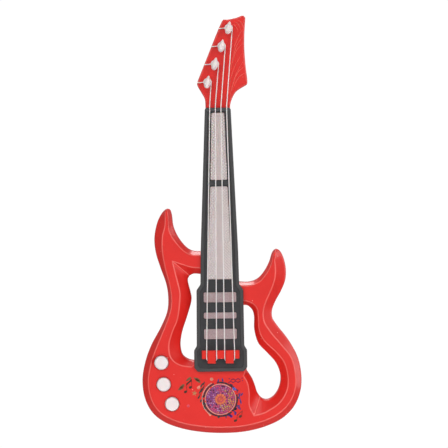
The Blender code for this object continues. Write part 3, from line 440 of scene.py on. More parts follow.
class Look:
    """A Principled material with helpers that add detail from noise."""

    def __init__(self, name, colour, roughness, metallic=0.0, coat=0.0, coat_roughness=0.1,
                 subsurface=0.0, sheen=0.0, specular=0.5):
        self.material = bpy.data.materials.new(name)
        self.material.use_nodes = True
        self.tree = self.material.node_tree
        self.shader = self.tree.nodes["Principled BSDF"]
        self.colour = colour
        self.height = None
        put = self.shader.inputs
        put["Roughness"].default_value = roughness
        put["Metallic"].default_value = metallic
        put["Coat Weight"].default_value = coat
        put["Coat Roughness"].default_value = coat_roughness
        put["Subsurface Weight"].default_value = subsurface
        put["Subsurface Scale"].default_value = 0.002
        put["Sheen Weight"].default_value = sheen
        put["Specular IOR Level"].default_value = specular
        self.place = self.node("ShaderNodeTexCoord").outputs["Object"]

    def node(self, kind, **settings):
        made = self.tree.nodes.new(kind)
        for key, value in settings.items():
            setattr(made, key, value)
        return made

    def link(self, source, target):
        self.tree.links.new(source, target)

    def noise(self, size_mm, detail=2.0):
        """Noise with features of about size_mm."""
        made = self.node("ShaderNodeTexNoise")
        made.inputs["Scale"].default_value = 1000.0 / size_mm
        made.inputs["Detail"].default_value = detail
        self.link(self.place, made.inputs["Vector"])
        return made.outputs["Fac"]

    def specks(self, pitch_mm, radius, most, shift=0.0):
        """Sparse round dots; radius is a part of the pitch."""
        spread = self.node("ShaderNodeMapping")
        spread.inputs["Location"].default_value = (shift, shift, shift)
        self.link(self.place, spread.inputs["Vector"])
        made = self.node("ShaderNodeTexVoronoi")
        made.inputs["Scale"].default_value = 1000.0 / pitch_mm
        self.link(spread.outputs["Vector"], made.inputs["Vector"])
        return self.ranged(made.outputs["Distance"], radius * 1.3, radius * 0.7, 0.0, most)

    def ranged(self, source, low, high, to_low, to_high):
        made = self.node("ShaderNodeMapRange")
        for name, value in (("From Min", low), ("From Max", high), ("To Min", to_low),
                            ("To Max", to_high)):
            made.inputs[name].default_value = value
        self.link(source, made.inputs["Value"])
        return made.outputs["Result"]

    def tint(self, factor, colour):
        """Mixes a colour in where factor is high."""
        made = self.node("ShaderNodeMix", data_type="RGBA")
        self.link(factor, made.inputs["Factor"])
        if isinstance(self.colour, tuple):
            made.inputs[6].default_value = (*self.colour, 1.0)
        else:
            self.link(self.colour, made.inputs[6])
        made.inputs[7].default_value = (*colour, 1.0)
        self.colour = made.outputs[2]
        return self

    def stain(self, size_mm, detail, low, high, most, colour):
        """Tints by noise: nothing at low, most at high."""
        return self.tint(self.ranged(self.noise(size_mm, detail), low, high, 0.0, most), colour)

    def rough(self, source, low, high):
        self.link(self.ranged(source, 0.3, 0.7, low, high), self.shader.inputs["Roughness"])
        return self

    def bump(self, source, depth_mm, strength=1.0):
        """Adds to the surface's relief."""
        made = self.node("ShaderNodeBump")
        made.inputs["Strength"].default_value = strength
        made.inputs["Distance"].default_value = depth_mm * MM
        self.link(source, made.inputs["Height"])
        if self.height:
            self.link(self.height, made.inputs["Normal"])
        self.height = made.outputs["Normal"]
        return self

    def edge_wear_and_highlight(self, colour, most=0.35):
        """A paler line where the surface turns outwards: partly edge wear, partly a painted highlight.
        """
        edge = self.node("ShaderNodeNewGeometry").outputs["Pointiness"]
        return self.tint(self.ranged(edge, 0.52, 0.62, 0.0, most), colour)

    def done(self):
        self.link(self.colour, self.shader.inputs["Base Color"])
        if self.height:
            self.link(self.height, self.shader.inputs["Normal"])
        return self.material


def scaled(colour, *parts):
    """A colour made lighter or darker, by one factor or by one for each channel."""
    return tuple(min(1.0, c * part) for c, part in zip(colour, parts * (4 - len(parts))))


def red_plastic(name, colour, coat=0.25):
    look = Look(name, colour, 0.38, coat=coat, coat_roughness=0.09, subsurface=0.03,
                specular=0.3)
    look.stain(38, 3, 0.35, 0.7, 0.3, scaled(colour, 0.84, 0.6, 0.6))
    look.tint(look.specks(9.0, 0.055, 0.8), (0.95, 0.32, 0.28))
    look.tint(look.specks(5.0, 0.05, 0.5, 3.1), (0.92, 0.16, 0.13))
    look.stain(0.8, 1, 0.30, 0.24, 0.4, (0.50, 0.01, 0.01))
    look.rough(look.noise(6, 4), 0.33, 0.45)
    look.bump(look.noise(0.55), 0.02).bump(look.noise(14), 0.05, 0.5)
    # painted highlight: paler red along the crest of the deck's crease, where the front shell sets the
    # point attribute
    painted_highlight = look.node("ShaderNodeAttribute", attribute_name="painted_highlight").outputs["Fac"]
    look.tint(look.ranged(painted_highlight, 0.0, 1.0, 0.0, 0.6), (0.98, 0.20, 0.17))
    return look.done()


def dark_plastic(name, colour, roughness=0.5):
    look = Look(name, colour, roughness, coat=0.05)
    look.stain(20, 3, 0.35, 0.7, 0.4, scaled(colour, 1.35))
    look.stain(0.5, 1, 0.62, 0.72, 0.35, scaled(colour, 2.2))
    look.rough(look.noise(3, 3), roughness - 0.06, roughness + 0.08)
    look.bump(look.noise(0.45), 0.02)
    look.edge_wear_and_highlight(scaled(colour, 2.4), most=0.2)
    return look.done()


def ivory_plastic(name, colour, roughness=0.36):
    look = Look(name, colour, roughness, coat=0.15, coat_roughness=0.2, subsurface=0.12)
    look.stain(5, 3, 0.4, 0.7, 0.3, scaled(colour, 1.0, 0.93, 0.93))
    look.rough(look.noise(1.5), roughness - 0.05, roughness + 0.08)
    look.bump(look.noise(0.6), 0.012)
    look.edge_wear_and_highlight((1.0, 0.98, 0.96))
    return look.done()


def window_plastic(name, colour):
    look = Look(name, colour, 0.3, coat=0.3, coat_roughness=0.15, subsurface=0.2)
    look.stain(9, 3, 0.4, 0.65, 0.3, scaled(colour, 0.82, 0.74, 0.76))
    look.stain(0.8, 1, 0.6, 0.7, 0.35, (0.86, 0.78, 0.77))
    # painted shade: the face is darker where it lies low and lighter toward the pyramid tips, shade
    # painted into the valleys
    depth = look.node("ShaderNodeSeparateXYZ")
    look.link(look.place, depth.inputs[0])
    face = (BACK_Y - LENS_TOP) * MM
    valley_shade = look.ranged(depth.outputs["Y"], face - 0.0004, face + 0.00002, 0.0, 0.75)
    look.tint(valley_shade, scaled(colour, 0.56, 0.50, 0.50))
    look.rough(look.noise(1.2), 0.24, 0.38)
    look.bump(look.noise(0.5), 0.015)
    return look.done()


def metal(name, colour):
    look = Look(name, colour, 0.3, metallic=1.0)
    look.stain(1.5, 4, 0.4, 0.7, 0.4, scaled(colour, 0.7))
    look.rough(look.noise(0.8, 3), 0.22, 0.44)
    look.bump(look.noise(0.3), 0.008)
    look.edge_wear_and_highlight(scaled(colour, 1.5))
    return look.done()


def rubber_like(name, colour, roughness=0.8):
    look = Look(name, colour, roughness, sheen=0.2)
    look.stain(1.0, 4, 0.4, 0.7, 0.5, [min(1.0, c * 1.8 + 0.01) for c in colour])
    look.rough(look.noise(0.6, 3), roughness - 0.15, min(1.0, roughness + 0.1))
    look.bump(look.noise(0.4, 3), 0.03)
    return look.done()


def circuit_board(name):
    look = Look(name, (0.02, 0.16, 0.06), 0.4, coat=0.4, coat_roughness=0.15)
    tracks = look.node("ShaderNodeTexVoronoi", feature="DISTANCE_TO_EDGE", distance="MANHATTAN")
    tracks.inputs["Scale"].default_value = 260.0
    look.link(look.place, tracks.inputs["Vector"])
    look.tint(look.ranged(tracks.outputs["Distance"], 0.06, 0.03, 0.0, 0.8), (0.06, 0.32, 0.12))
    look.stain(2.2, 0, 0.68, 0.7, 1.0, (0.62, 0.6, 0.55))
    look.rough(look.noise(1.0), 0.3, 0.5)
    look.bump(tracks.outputs["Distance"], 0.02)
    return look.done()


def ink(name, colour):
    look = Look(name, colour, 0.5, specular=0.3)
    look.stain(1.6, 3, 0.45, 0.62, 0.6, scaled(colour, 0.55))
    look.stain(0.7, 2, 0.6, 0.68, 0.5, (0.62, 0.07, 0.06))
    look.rough(look.noise(1.0), 0.38, 0.52)
    look.bump(look.noise(0.6), 0.01)
    return look.done()


RED = red_plastic("red_shell", (0.80, 0.024, 0.018))
# a paler, glossier copy of the red, for thin lines that are painted highlights on ridges
HIGHLIGHT_RED = red_plastic("red_ridge_highlight", (0.95, 0.14, 0.11), coat=0.5)
BRIDGE_RED = red_plastic("red_bridge", (0.78, 0.026, 0.016), coat=0.05)
DARK = dark_plastic("dark_plate", (0.045, 0.045, 0.047))
# a darker copy of the plate's plastic for its recessed floor: painted shade in the recess
PLATE_SHADE = dark_plastic("dark_plate_floor_shade", (0.028, 0.028, 0.031), 0.6)
WINDOW = window_plastic("window_lens", (0.98, 0.85, 0.83))
PICKUP = window_plastic("pickup_lens", (0.48, 0.345, 0.355))
IVORY = ivory_plastic("ivory", (0.92, 0.83, 0.81))
BUTTON_IVORY = ivory_plastic("button_ivory", (0.90, 0.80, 0.80), 0.42)
NYLON = ivory_plastic("nylon", (0.86, 0.80, 0.79), 0.3)
STEEL = metal("steel", (0.56, 0.56, 0.57))
BLACK = rubber_like("black_rubber", (0.015, 0.015, 0.016))


# ---------------------------------------------------------------- front shell

def bezier(start, corner, end, steps):
    """Points between start and end, both left out, bending round the corner."""
    return [start * (1 - t) ** 2 + corner * 2 * t * (1 - t) + end * t ** 2
            for t in (step / steps for step in range(1, steps))]


def flank_rings(edge, crease, is_hole):
    """Rings of 3-D points from the parting line up the flank and over onto the deck."""
    side = -1 if is_hole else 1
    inward, deckward = side * inward_normals(edge), side * inward_normals(crease)

    def lifted(loop, depth):
        return np.column_stack([loop, np.full(len(loop), depth)])

    foot, top = lifted(edge, FOOT), lifted(crease, DECK)
    slope = top - foot
    length = np.linalg.norm(slope, axis=1)[:, None]
    slope = slope / length
    low_turn, high_turn = np.minimum(2.4, 0.3 * length), np.minimum(1.2, 0.3 * length)
    reach = room(crease, deckward, 2.1)[:, None]
    flat = np.column_stack([deckward, np.zeros(len(crease))])
    below, above = foot - low_turn * [[0, 0, 1]], foot + low_turn * slope
    before, after = top - high_turn * slope, top + 0.65 * reach * flat
    rings = [lifted(edge + 0.3 * inward, PARTING + GAP / 2), lifted(edge, PARTING + 0.5)]
    rings += [below] + bezier(below, foot, above, 5) + [above, before]
    rings += bezier(before, top, after, 5) + [after, top + reach * flat]
    return rings


def wall_loop(pair, is_hole, slope_part):
    """The inside of a wall, slope_part of the way up its flank."""
    edge, crease = pair
    inward = inward_normals(edge) * (-1 if is_hole else 1)
    loop = edge + (crease - edge) * slope_part + SKIN * inward
    if is_hole:
        return loop
    reach = np.linalg.norm(loop - edge, axis=1)
    apart = np.linalg.norm(loop[:, None] - edge[None], axis=2)
    slack = 0.999 if slope_part == 0 else 0.97
    return loop[(apart >= slack * reach[:, None]).all(axis=1)]


def tray(outside, inside, marks=()):
    """A hollow shell. outside is rings of 3-D points for each loop; inside is (loops, depth).

    marks are further loops drawn in its face, which keep the faces round later holes small.
    """
    bm = bmesh.new()
    outer = [[[bm.verts.new(p) for p in ring] for ring in rings] for rings in outside]
    for rings in outer:
        for low, high in zip(rings, rings[1:]):
            skin_between(bm, low, high)
    top = outside[0][-1][0][2]
    drawn = [[ring_at(bm, loop, top) for loop in nest] for nest in marks]
    fill_between(bm, [rings[-1] for rings in outer] + [nest[0] for nest in drawn])
    for nest in drawn:
        for wide, narrow in zip(nest, nest[1:]):
            skin_between(bm, wide, narrow)
        bm.faces.new(nest[-1])
    inner = [[ring_at(bm, loop, depth) for loop in loops] for loops, depth in inside]
    for lower, upper in zip(inner, inner[1:]):
        for low, high in zip(lower, upper):
            if len(low) == len(high) and low[0].co.z != high[0].co.z:
                skin_between(bm, low, high)
            else:
                fill_between(bm, [low, high])
    fill_between(bm, inner[-1])
    for rings, ring in zip(outer, inner[0]):
        fill_between(bm, [rings[0], ring])
    return facing_out(bm)


def head_block(low, high, low_edge, high_edge):
    """The headstock between two depths; an edge of 0 is left square."""
    outline = head_outline()
    normal = inward_normals(outline)

    def drawn_in(distance):
        return [outline + normal * room(outline, normal, distance + 1e-3)[:, None]]

    turns = quarter(5)
    levels = [(drawn_in(low_edge * (1 - math.sin(a))), low + low_edge * (1 - math.cos(a)))
              for a in turns] if low_edge else [([outline], low)]
    levels += [(drawn_in(high_edge * (1 - math.cos(a))), high - high_edge * (1 - math.sin(a)))
               for a in turns] if high_edge else [([outline], high)]
    return loft(levels)


def rim_highlight(outside):
    """A painted highlight along the crest of the deck's crease, weaker round the headstock's top edge,
    as a function of the place.
    """
    crests = [point for rings in outside for ring in rings[-6:-3] for point in ring]
    tree = KDTree(len(crests))
    for number, point in enumerate(crests):
        tree.insert(point, number)
    tree.balance()

    def painted_highlight(x, y, depth):
        if y > HEAD_START:
            return 0.4 if HEAD_DECK - 1.4 < depth < HEAD_DECK - 0.02 else 0.0
        return 1.0 if tree.find((x, y, depth))[2] < 0.05 else 0.0
    return painted_highlight


def front_shell(pairs):
    outside = [flank_rings(*pair, number > 0) for number, pair in enumerate(pairs)]
    foot = [wall_loop(pair, number > 0, 0.0) for number, pair in enumerate(pairs)]
    top = [wall_loop(pair, number > 0, 0.7) for number, pair in enumerate(pairs)]
    shelf = FOOT - SKIN
    marks = [[circle(at, BUTTON_R + wider) for wider in (3.0, 2.2, 1.4)] for at in BUTTONS]
    bm = tray(outside, [(foot, PARTING + GAP / 2), (foot, shelf), (top, shelf),
                        (top, DECK - SKIN)], marks)
    holes = [turned([(0, 25), (BUTTON_R + 0.5, 25), (BUTTON_R + 0.5, DECK - 0.5),
                     (BUTTON_R + 1.0, DECK + 0.05), (0, DECK + 0.05)], at) for at in BUTTONS]
    holes += [turned([(0, 12), (4.3, 12), (4.3, HEAD_DECK - SKIN), (2.45, HEAD_DECK - SKIN),
                      (2.45, 28), (0, 28)], at, 32) for at in PEGS]
    head = head_block(PARTING + GAP / 2, HEAD_DECK, 0.0, 1.8)
    bm = carved(bm, ("UNION", head), ("DIFFERENCE", merged(holes)))
    # the front shell gets a painted highlight along the crest of its crease
    piece("body_front", bm, RED, replaces=["front_shell"], crisp=32,
          painted_highlight=rim_highlight(outside))
    # rods in the paler red along the two folds: painted highlight lines
    for name, low, high in (("fold_ridge_highlight_right", (37.7, -173.6, 20.9), (31.9, -191.2, 29.5)),
                            ("fold_ridge_highlight_left", (-31.9, -50.3, 21.2), (-48.0, -36.3, 29.5))):
        cord_piece(name, [low, high], 0.55, HIGHLIGHT_RED)


# ---------------------------------------------------------------- back shell

def back_rings(edge, is_hole):
    """Rings from the parting line down the side and round onto the flat back."""
    inward = inward_normals(edge) * (-1 if is_hole else 1)
    radius = 3.2
    rings = [np.column_stack([edge + 0.3 * inward, np.full(len(edge), PARTING - GAP / 2)]),
             np.column_stack([edge, np.full(len(edge), PARTING - 0.5)])]
    for turn in quarter(6):
        way = room(edge, inward, radius * (1 - math.cos(turn)) + 1e-3)[:, None]
        rings.append(np.column_stack([edge + way * inward,
                                      np.full(len(edge), radius * (1 - math.sin(turn)))]))
    return rings


def neck_back():
    """The rounded back of the neck, lofted along its length."""
    bm = bmesh.new()
    sections = []
    for y in (-16.0, -10.0, 0.0, 20.0, 60.0, 100.0, 112.0, 114.0, 116.0, 118.0, 120.0, 122.0):
        along = (y + 56.0) / 172.8
        right, left = 17.6 - 6.3 * along, -18.7 + 5.4 * (y + 25.5) / 142.5
        blend = min(1.0, max(0.0, (y - 112.0) / 10.0))
        back = NECK_BACK + (HEAD_BACK + 0.2 - NECK_BACK) * blend * blend * (3 - 2 * blend)
        across, deep = 6.0, PARTING - GAP / 2 - 0.6 - back
        profile = [(right, PARTING - GAP / 2)]
        profile += [(right - across * (1 - math.cos(a)), back + deep * (1 - math.sin(a)))
                    for a in quarter(6)]
        profile += [(left + across * (1 - math.sin(a)), back + deep * (1 - math.cos(a)))
                    for a in quarter(6)]
        profile += [(left, PARTING - GAP / 2)]
        sections.append([bm.verts.new((x, y, depth)) for x, depth in profile])
    return strung(bm, sections)


def heel_relief():
    """The space behind the neck, cut from the body's shell."""
    profile = [(-24.0, -5.0), (-24.0, 0.0), (-21.0, 0.5), (-18.0, 1.8), (-13.0, 5.0),
               (-8.5, 8.4), (-5.0, 9.7), (-1.0, 12.0), (-1.0, 18.0), (150.0, 18.0), (150.0, -5.0)]
    bm = bmesh.new()
    return strung(bm, [[bm.verts.new((x, y, depth)) for y, depth in profile]
                       for x in (-19.4, 18.4)])


def door_outline(clearance):
    left, right = DOOR_LEFT + clearance, DOOR_RIGHT - clearance
    bottom, top = DOOR_BOTTOM + clearance, DOOR_TOP - clearance
    ear, ear_left = 4.6 - clearance, DOOR_SCREW[0] - 4.2 + clearance
    middle = DOOR_SCREW[1]
    return [(left, bottom), (right, bottom), (right, top), (left, top), (left, middle + ear),
            (ear_left + 2, middle + ear), (ear_left, middle + ear - 2),
            (ear_left, middle - ear + 2), (ear_left + 2, middle - ear), (left, middle - ear)]


def slotted(left, right, y, half, low, high):
    """A slot with round ends."""
    return prism(rounded(rectangle(left, right, y - half, y + half), half), low, high)


def round_post(at, radius, top):
    """A round post from the shell's wall."""
    return turned([(0, BOSS_FOOT), (radius, BOSS_FOOT), (radius, top), (0, top)], at, 32)


def back_cuts():
    cuts = [prism(door_outline(0), -1, 2.1)]
    for at in CASE_SCREWS:
        seat = HEAD_BACK + 1.6 if at[1] > HEAD_START else 6.0
        cuts.append(turned([(0, -1), (3.6, -1), (3.2, 0.4 if seat == 6.0 else HEAD_BACK + 0.4),
                            (3.2, seat), (1.6, seat), (1.6, 20), (0, 20)], at, 32))
    for number in range(-3, 4):
        reach = math.sqrt(15.5 ** 2 - (4.4 * number) ** 2)
        y = SPEAKER[1] + 4.4 * number
        cuts.append(slotted(SPEAKER[0] - reach, SPEAKER[0] + reach, y, 1.0, -1, SKIN + 1))
    x, y = SWITCH
    cuts.append(prism(rounded(rectangle(x - 9, x + 9, y - 4.5, y + 4.5), 1.5), -1, 1.1))
    return cuts


def back_shell(pairs):
    outside = [back_rings(pair[0], number > 0) for number, pair in enumerate(pairs)]
    foot = [wall_loop(pair, number > 0, 0.0) for number, pair in enumerate(pairs)]
    bm = tray(outside, [(foot, PARTING - GAP / 2), (foot, SKIN)])
    posts = [round_post(at, 4.6, PARTING - GAP) for at in CASE_SCREWS[2:]]
    posts.append(round_post(DOOR_SCREW, 3.4, 12))
    x, y = DOOR_SCREW
    bay = box(DOOR_LEFT - 0.6, DOOR_RIGHT + 0.6, DOOR_BOTTOM - 0.6, DOOR_TOP + 0.6, BOSS_FOOT,
              TRAY_DEPTH + 1.4)
    pad = box(x - 5.8, DOOR_LEFT - 0.3, y - 6.1, y + 6.1, BOSS_FOOT, SKIN + 2)
    inner = [box(DOOR_LEFT + 1, DOOR_RIGHT - 1, DOOR_BOTTOM + 1, DOOR_TOP - 1, 1, TRAY_DEPTH)]
    inner.append(turned([(0, 0.5), (1.9, 0.5), (1.9, 10), (0, 10)], DOOR_SCREW, 32))
    x, y = SWITCH
    inner.append(box(x - 4.2, x + 4.2, y - 2.2, y + 2.2, 0.5, SKIN + 1))
    pockets = [box(DOOR_RIGHT - 2, DOOR_RIGHT + 2.2, y - 4, y + 4, SKIN - 0.2, SKIN + 3)
               for y in DOOR_TONGUES]
    bm = carved(bm, ("DIFFERENCE", heel_relief()), ("UNION", neck_back()),
                ("UNION", head_block(HEAD_BACK, PARTING - GAP / 2, 1.5, 0.0)),
                ("UNION", merged(posts)), ("UNION", bay), ("UNION", pad),
                ("DIFFERENCE", merged(back_cuts())), ("DIFFERENCE", merged(inner)),
                ("DIFFERENCE", merged(pockets)))
    piece("body_back", bm, RED, replaces=["back_shell"], crisp=32)


def battery_door():
    panel = cushion(door_outline(GAP), 0, 1.8, 0.01, 0.5)
    changes = [("DIFFERENCE", merged([slotted(-24, 14, DOOR_TOP - 6 - 2.4 * number, 0.6, -1, 0.35)
                                      for number in range(5)]))]
    for at in DOOR_TONGUES:
        for left, right, low in ((-2.6, -1.4, 1), (-2.5, 1, SKIN + 0.6)):
            changes.append(("UNION", box(DOOR_RIGHT + left, DOOR_RIGHT + right, at - 3, at + 3,
                                         low, SKIN + 1.8)))
    seat = [(0, -1), (2.9, -1), (2.9, 0.9), (1.7, 0.9), (1.7, 3), (0, 3)]
    changes.append(("DIFFERENCE", turned(seat, DOOR_SCREW, 32)))
    piece("battery_door_panel", carved(panel, *changes), RED, "battery_door",
          ["battery_door"])


# ---------------------------------------------------------------- neck plate

def plate_outline():
    right = [(NECK_X + x, y) for x, y in PLATE_RIGHT_SIDE]
    left = [(NECK_X - x, y) for x, y in PLATE_RIGHT_SIDE]
    return left + right[::-1]


def pickup_frame(low, high):
    return rectangle(NECK_X - PICKUP_HALF_WIDTH, NECK_X + PICKUP_HALF_WIDTH, low, high)


def neck_plate():
    openings = [rounded(window, 2.0) for window in (UPPER_WINDOW, LOWER_WINDOW)]
    openings += [rounded(pickup_frame(*span), 1.8) for span in PICKUPS]
    solid = plate_outline()
    levels = [(0.0, DECK + GAP), (0.0, PLATE_TOP - 0.9), (0.35, PLATE_TOP - 0.25), (0.9, PLATE_TOP),
              (3.0, PLATE_TOP), (3.4, PLATE_TOP - 0.15), (3.9, PLATE_FLOOR)]
    bm = bmesh.new()
    rings = [ring_at(bm, rounded(mitred(solid, inset), 1.0, 2), depth) for inset, depth in levels]
    for low, high in zip(rings, rings[1:]):
        skin_between(bm, low, high)
    cut = [[ring_at(bm, mitred(hole, inset)[::-1], depth) for inset, depth in
            ((0.27, DECK + GAP), (0.27, DECK + 1.5), (0.0, DECK + 1.6), (0.0, PLATE_FLOOR))]
           for hole in openings]
    for nest in cut:
        for low, high in zip(nest, nest[1:]):
            skin_between(bm, low, high)
    fill_between(bm, [rings[0]] + [nest[0] for nest in cut])
    fill_between(bm, [rings[-1]] + [nest[-1] for nest in cut])
    bmesh.ops.recalc_face_normals(bm, faces=bm.faces)
    made = piece("fingerboard_plate", bm, DARK, replaces=["neck_plate"], crisp=50)
    # the recessed floor faces take the darker copy: painted shade
    made.data.materials.append(PLATE_SHADE)
    for face in made.data.polygons:
        if abs(face.center.y - (BACK_Y - PLATE_FLOOR) * MM) < 1e-5:
            face.material_index = 1
    bar = rectangle(-10.6, 9.2, 39.2, 43.4)
    piece("window_bar", cushion(rounded(bar, 1.2), PLATE_FLOOR - 0.3, PLATE_TOP - 0.1, 0.5),
          DARK)
    nut = rectangle(NECK_X - 12.0, NECK_X + 12.0, 113.2, 116.2)
    piece("string_nut", cushion(rounded(nut, 0.6), PLATE_TOP - 0.2, PLATE_TOP + 0.75, 0.5),
          DARK)


def lens(name, frame_corners, node, look):
    """A clear window whose face has small pyramids at its sides and fine flutes in the middle."""
    outline = mitred(rounded(frame_corners, 2.0), GAP)
    low, top = DECK + GAP, LENS_TOP
    body = loft([([outline], low), ([outline], top - 0.3), ([mitred(outline, 0.3)], top)])
    ribs = []
    bottom, high = frame_corners[0][1], frame_corners[2][1]
    pitch = 2.9
    bumps = []
    rows = int((high - bottom - 2.4) / (pitch / 2))
    for row in range(rows):
        y = bottom + 1.2 + pitch / 2 * (row + 0.5)
        part = (y - bottom) / (high - bottom)
        left = frame_corners[0][0] + (frame_corners[3][0] - frame_corners[0][0]) * part + 1.0
        right = frame_corners[1][0] + (frame_corners[2][0] - frame_corners[1][0]) * part - 1.0
        columns = int((right - left) / pitch)
        start = (left + right) / 2 - columns * pitch / 2 + (pitch / 2 if row % 2 else 0.0)
        for column in range(columns + (0 if row % 2 else 1)):
            x = start + column * pitch
            share = abs(x - (left + right) / 2) / (right - left)
            if share > 0.17:
                bumps.append((x, y))
        middle, half = (left + right) / 2, (right - left) * 0.15
        ribs.append(cushion(rectangle(middle - half, middle + half, y - 0.25, y + 0.25),
                            top - 0.05, top + 0.16, 0.14, steps=1))
    for x, y in bumps:
        pyramid(body, x, y, pitch * 0.45, top - 0.02, top + 0.5)
    body = merged([body] + ribs)
    piece(name, body, look, replaces=[node], crisp=20)


def pyramid(bm, x, y, half, low, high):
    base = [bm.verts.new((x + dx * half, y + dy * half, low))
            for dx, dy in ((-1, 0), (0, -1), (1, 0), (0, 1))]
    tip = bm.verts.new((x, y, high))
    bm.faces.new(base[::-1])
    for i in range(4):
        bm.faces.new((base[i - 1], base[i], tip))


def pickup(number, span):
    outline = mitred(rounded(pickup_frame(*span), 1.8), GAP)
    top = PLATE_TOP + 0.3
    body = cushion(outline, DECK + GAP, top, 0.7)
    ribs = []
    count = 19
    for i in range(count):
        x = NECK_X - PICKUP_HALF_WIDTH + 1.9 + i * (2 * PICKUP_HALF_WIDTH - 3.8) / (count - 1)
        ribs.append(cushion(rectangle(x - 0.42, x + 0.42, span[0] + 1.1, span[1] - 1.1),
                            top - 0.1, top + 0.3, 0.3, steps=2))
    body = merged([body] + ribs)
    piece(f"pickup_cover_{number}", body, PICKUP,
          replaces=[f"pickup_window_{number}"], crisp=40)


# ---------------------------------------------------------------- bridge, strings, pegs

def bridge():
    low, top = PLATE_TOP + 0.1, PLATE_TOP + 3.0
    bar = rounded(rectangle(NECK_X - BRIDGE_HALF_WIDTH, NECK_X + BRIDGE_HALF_WIDTH, BRIDGE_LOW,
                            BRIDGE_HIGH), 0.9)
    parts = [cushion(bar, low, top, 0.9)]
    for left, right in HOOKS:
        tab = rounded(rectangle(left, right, HOOK_LOW, BRIDGE_HIGH - 0.3), 0.8)
        parts.append(cushion(tab, top - 1.0, PLATE_TOP + 5.3, 0.8, 0.5))
        stem = rounded(rectangle(left + 1.2, right - 1.2, HOOK_LOW + 2.2, BRIDGE_LOW + 1), 0.5)
        parts.append(cushion(stem, low, top, 0.3))
    body = parts[0]
    body = carved(body, *[("UNION", part) for part in parts[1:]])
    piece("string_bridge", body, BRIDGE_RED, replaces=["bridge"], crisp=40)


def string_points(number):
    """One string from its tail on the headstock's edge to the bridge."""
    x, y = PEGS[number]
    reach = 3.2 + STRING_R
    height = HEAD_DECK + 1.6
    points = [(x - 10.4, y - 0.4, height - 0.6), (x - 7.0, y - 0.3, height - 0.2)]
    for step in range(40):
        angle = math.radians(178 - step * (178 + 372) / 39)
        points.append((x + reach * math.cos(angle), y + reach * math.sin(angle),
                       height + 0.6 * math.sin(math.pi * step / 39) - 0.2))
    nut = (NUT_STRINGS[number], 114.8, PLATE_TOP + 0.75 + STRING_R)
    over = (BRIDGE_STRINGS[number], BRIDGE_HIGH + 0.8, PLATE_TOP + 3.0 + STRING_R)
    points += [(nut[0], 118.2, nut[2] - 0.5), nut, (nut[0], 112.6, nut[2])]
    points += [over, (over[0], BRIDGE_LOW + 0.5, over[2])]
    return points


def strings():
    pairs = (("string_loop_right", 0, 1, HOOKS[1]), ("string_loop_left", 2, 3, HOOKS[0]))
    for node, first, second, (left, right) in pairs:
        depth = PLATE_TOP + 1.5
        y = BRIDGE_LOW - 1.2
        turn = [(right + 0.7, BRIDGE_LOW - 0.5, PLATE_TOP + 3.0), (right + 0.3, y, depth + 0.4),
                (right - 1.4, y - 0.5, depth), (left + 1.4, y - 0.5, depth),
                (left - 0.3, y, depth + 0.4), (left - 0.7, BRIDGE_LOW - 0.5, PLATE_TOP + 3.0)]
        points = string_points(first) + turn + string_points(second)[::-1]
        cord_piece(node.replace("loop", "pair"), points, STRING_R, NYLON, replaces=[node])


def leaf(centre, length, width, lean, sides=40):
    """A leaf outline, rounded below and pointed above."""
    points = []
    for step in range(sides):
        turn = 2 * math.pi * step / sides
        up = math.sin(turn)
        along = length * (up if up < 0 else up ** 0.92)
        across = width * math.cos(turn) * (1.0 - 0.42 * up)
        points.append((centre[0] + across * math.cos(lean) - along * math.sin(lean),
                       centre[1] + across * math.sin(lean) + along * math.cos(lean)))
    return points


def tuning_pegs():
    lean = math.radians(-12)
    sizes = [(0.50, 29.6), (0.62, 30.0), (0.84, 30.7), (0.96, 31.5), (1.0, 32.6), (0.98, 34.2),
             (0.92, 35.7), (0.80, 36.9), (0.62, 37.8), (0.40, 38.3), (0.18, 38.45)]
    for number, at in enumerate(PEGS, 1):
        post = turned([(0, 20), (2.2, 20), (2.2, 27.3), (3.7, 27.3), (3.7, 27.6), (3.1, 27.75),
                       (3.1, 29.7), (3.7, 30.0), (3.7, 30.2), (3.3, 30.5), (0, 30.7)], at, 40)
        wing = loft([([leaf(at, 6.5 * s, 2.9 * s, lean)], depth) for s, depth in sizes])
        body = carved(post, ("UNION", wing),
                      ("DIFFERENCE", turned([(0, 19), (1.3, 19), (1.3, 25), (0, 25)], at, 24)))
        piece(f"peg_{number}_knob", body, IVORY, f"peg_{number}",
              [f"tuning_peg_{number}"], crisp=45)


def buttons():
    for number, at in enumerate(BUTTONS, 1):
        profile = [(0, 21.5), (2.6, 21.5), (2.6, 26.0), (BUTTON_R + 1.4, 26.0),
                   (BUTTON_R + 1.4, 27.5), (BUTTON_R, 27.5), (BUTTON_R, 31.5),
                   (BUTTON_R - 0.1, 32.0), (BUTTON_R - 0.4, 32.45), (BUTTON_R - 0.9, 32.75),
                   (BUTTON_R - 1.5, 32.85), (BUTTON_R - 2.2, 32.8), (4.0, 32.75), (2.0, 32.9),
                   (0, 32.95)]
        piece(f"button_{number}_cap", turned(profile, at), BUTTON_IVORY,
              f"button_{number}", [f"sound_button_{number}"])


# ---------------------------------------------------------------- relief and print

def course(points):
    """A smooth line through points, and its unit normals."""
    line = np.array(smooth_run(points, 5) + [np.array(points[-1], float)])
    way = np.gradient(line, axis=0)
    normal = np.column_stack([-way[:, 1], way[:, 0]])
    return line, normal / np.linalg.norm(normal, axis=1)[:, None]


def ribbon(points, width, low, high):
    """A raised line, half round in section, tapering to nothing at both ends."""
    bm = bmesh.new()
    points, normal = course(points)
    section = [(-1.0, 0.0), (-0.6, 0.65), (0.0, 1.0), (0.6, 0.65), (1.0, 0.0)]
    rows = []
    for i, (point, side) in enumerate(zip(points, normal)):
        swell = max(0.08, math.sin(math.pi * (i + 0.3) / (len(points) - 0.4)) ** 0.6)
        rows.append([bm.verts.new((*(point + side * width / 2 * across * swell),
                                   low + (high - low) * up * swell)) for across, up in section])
    return strung(bm, rows)


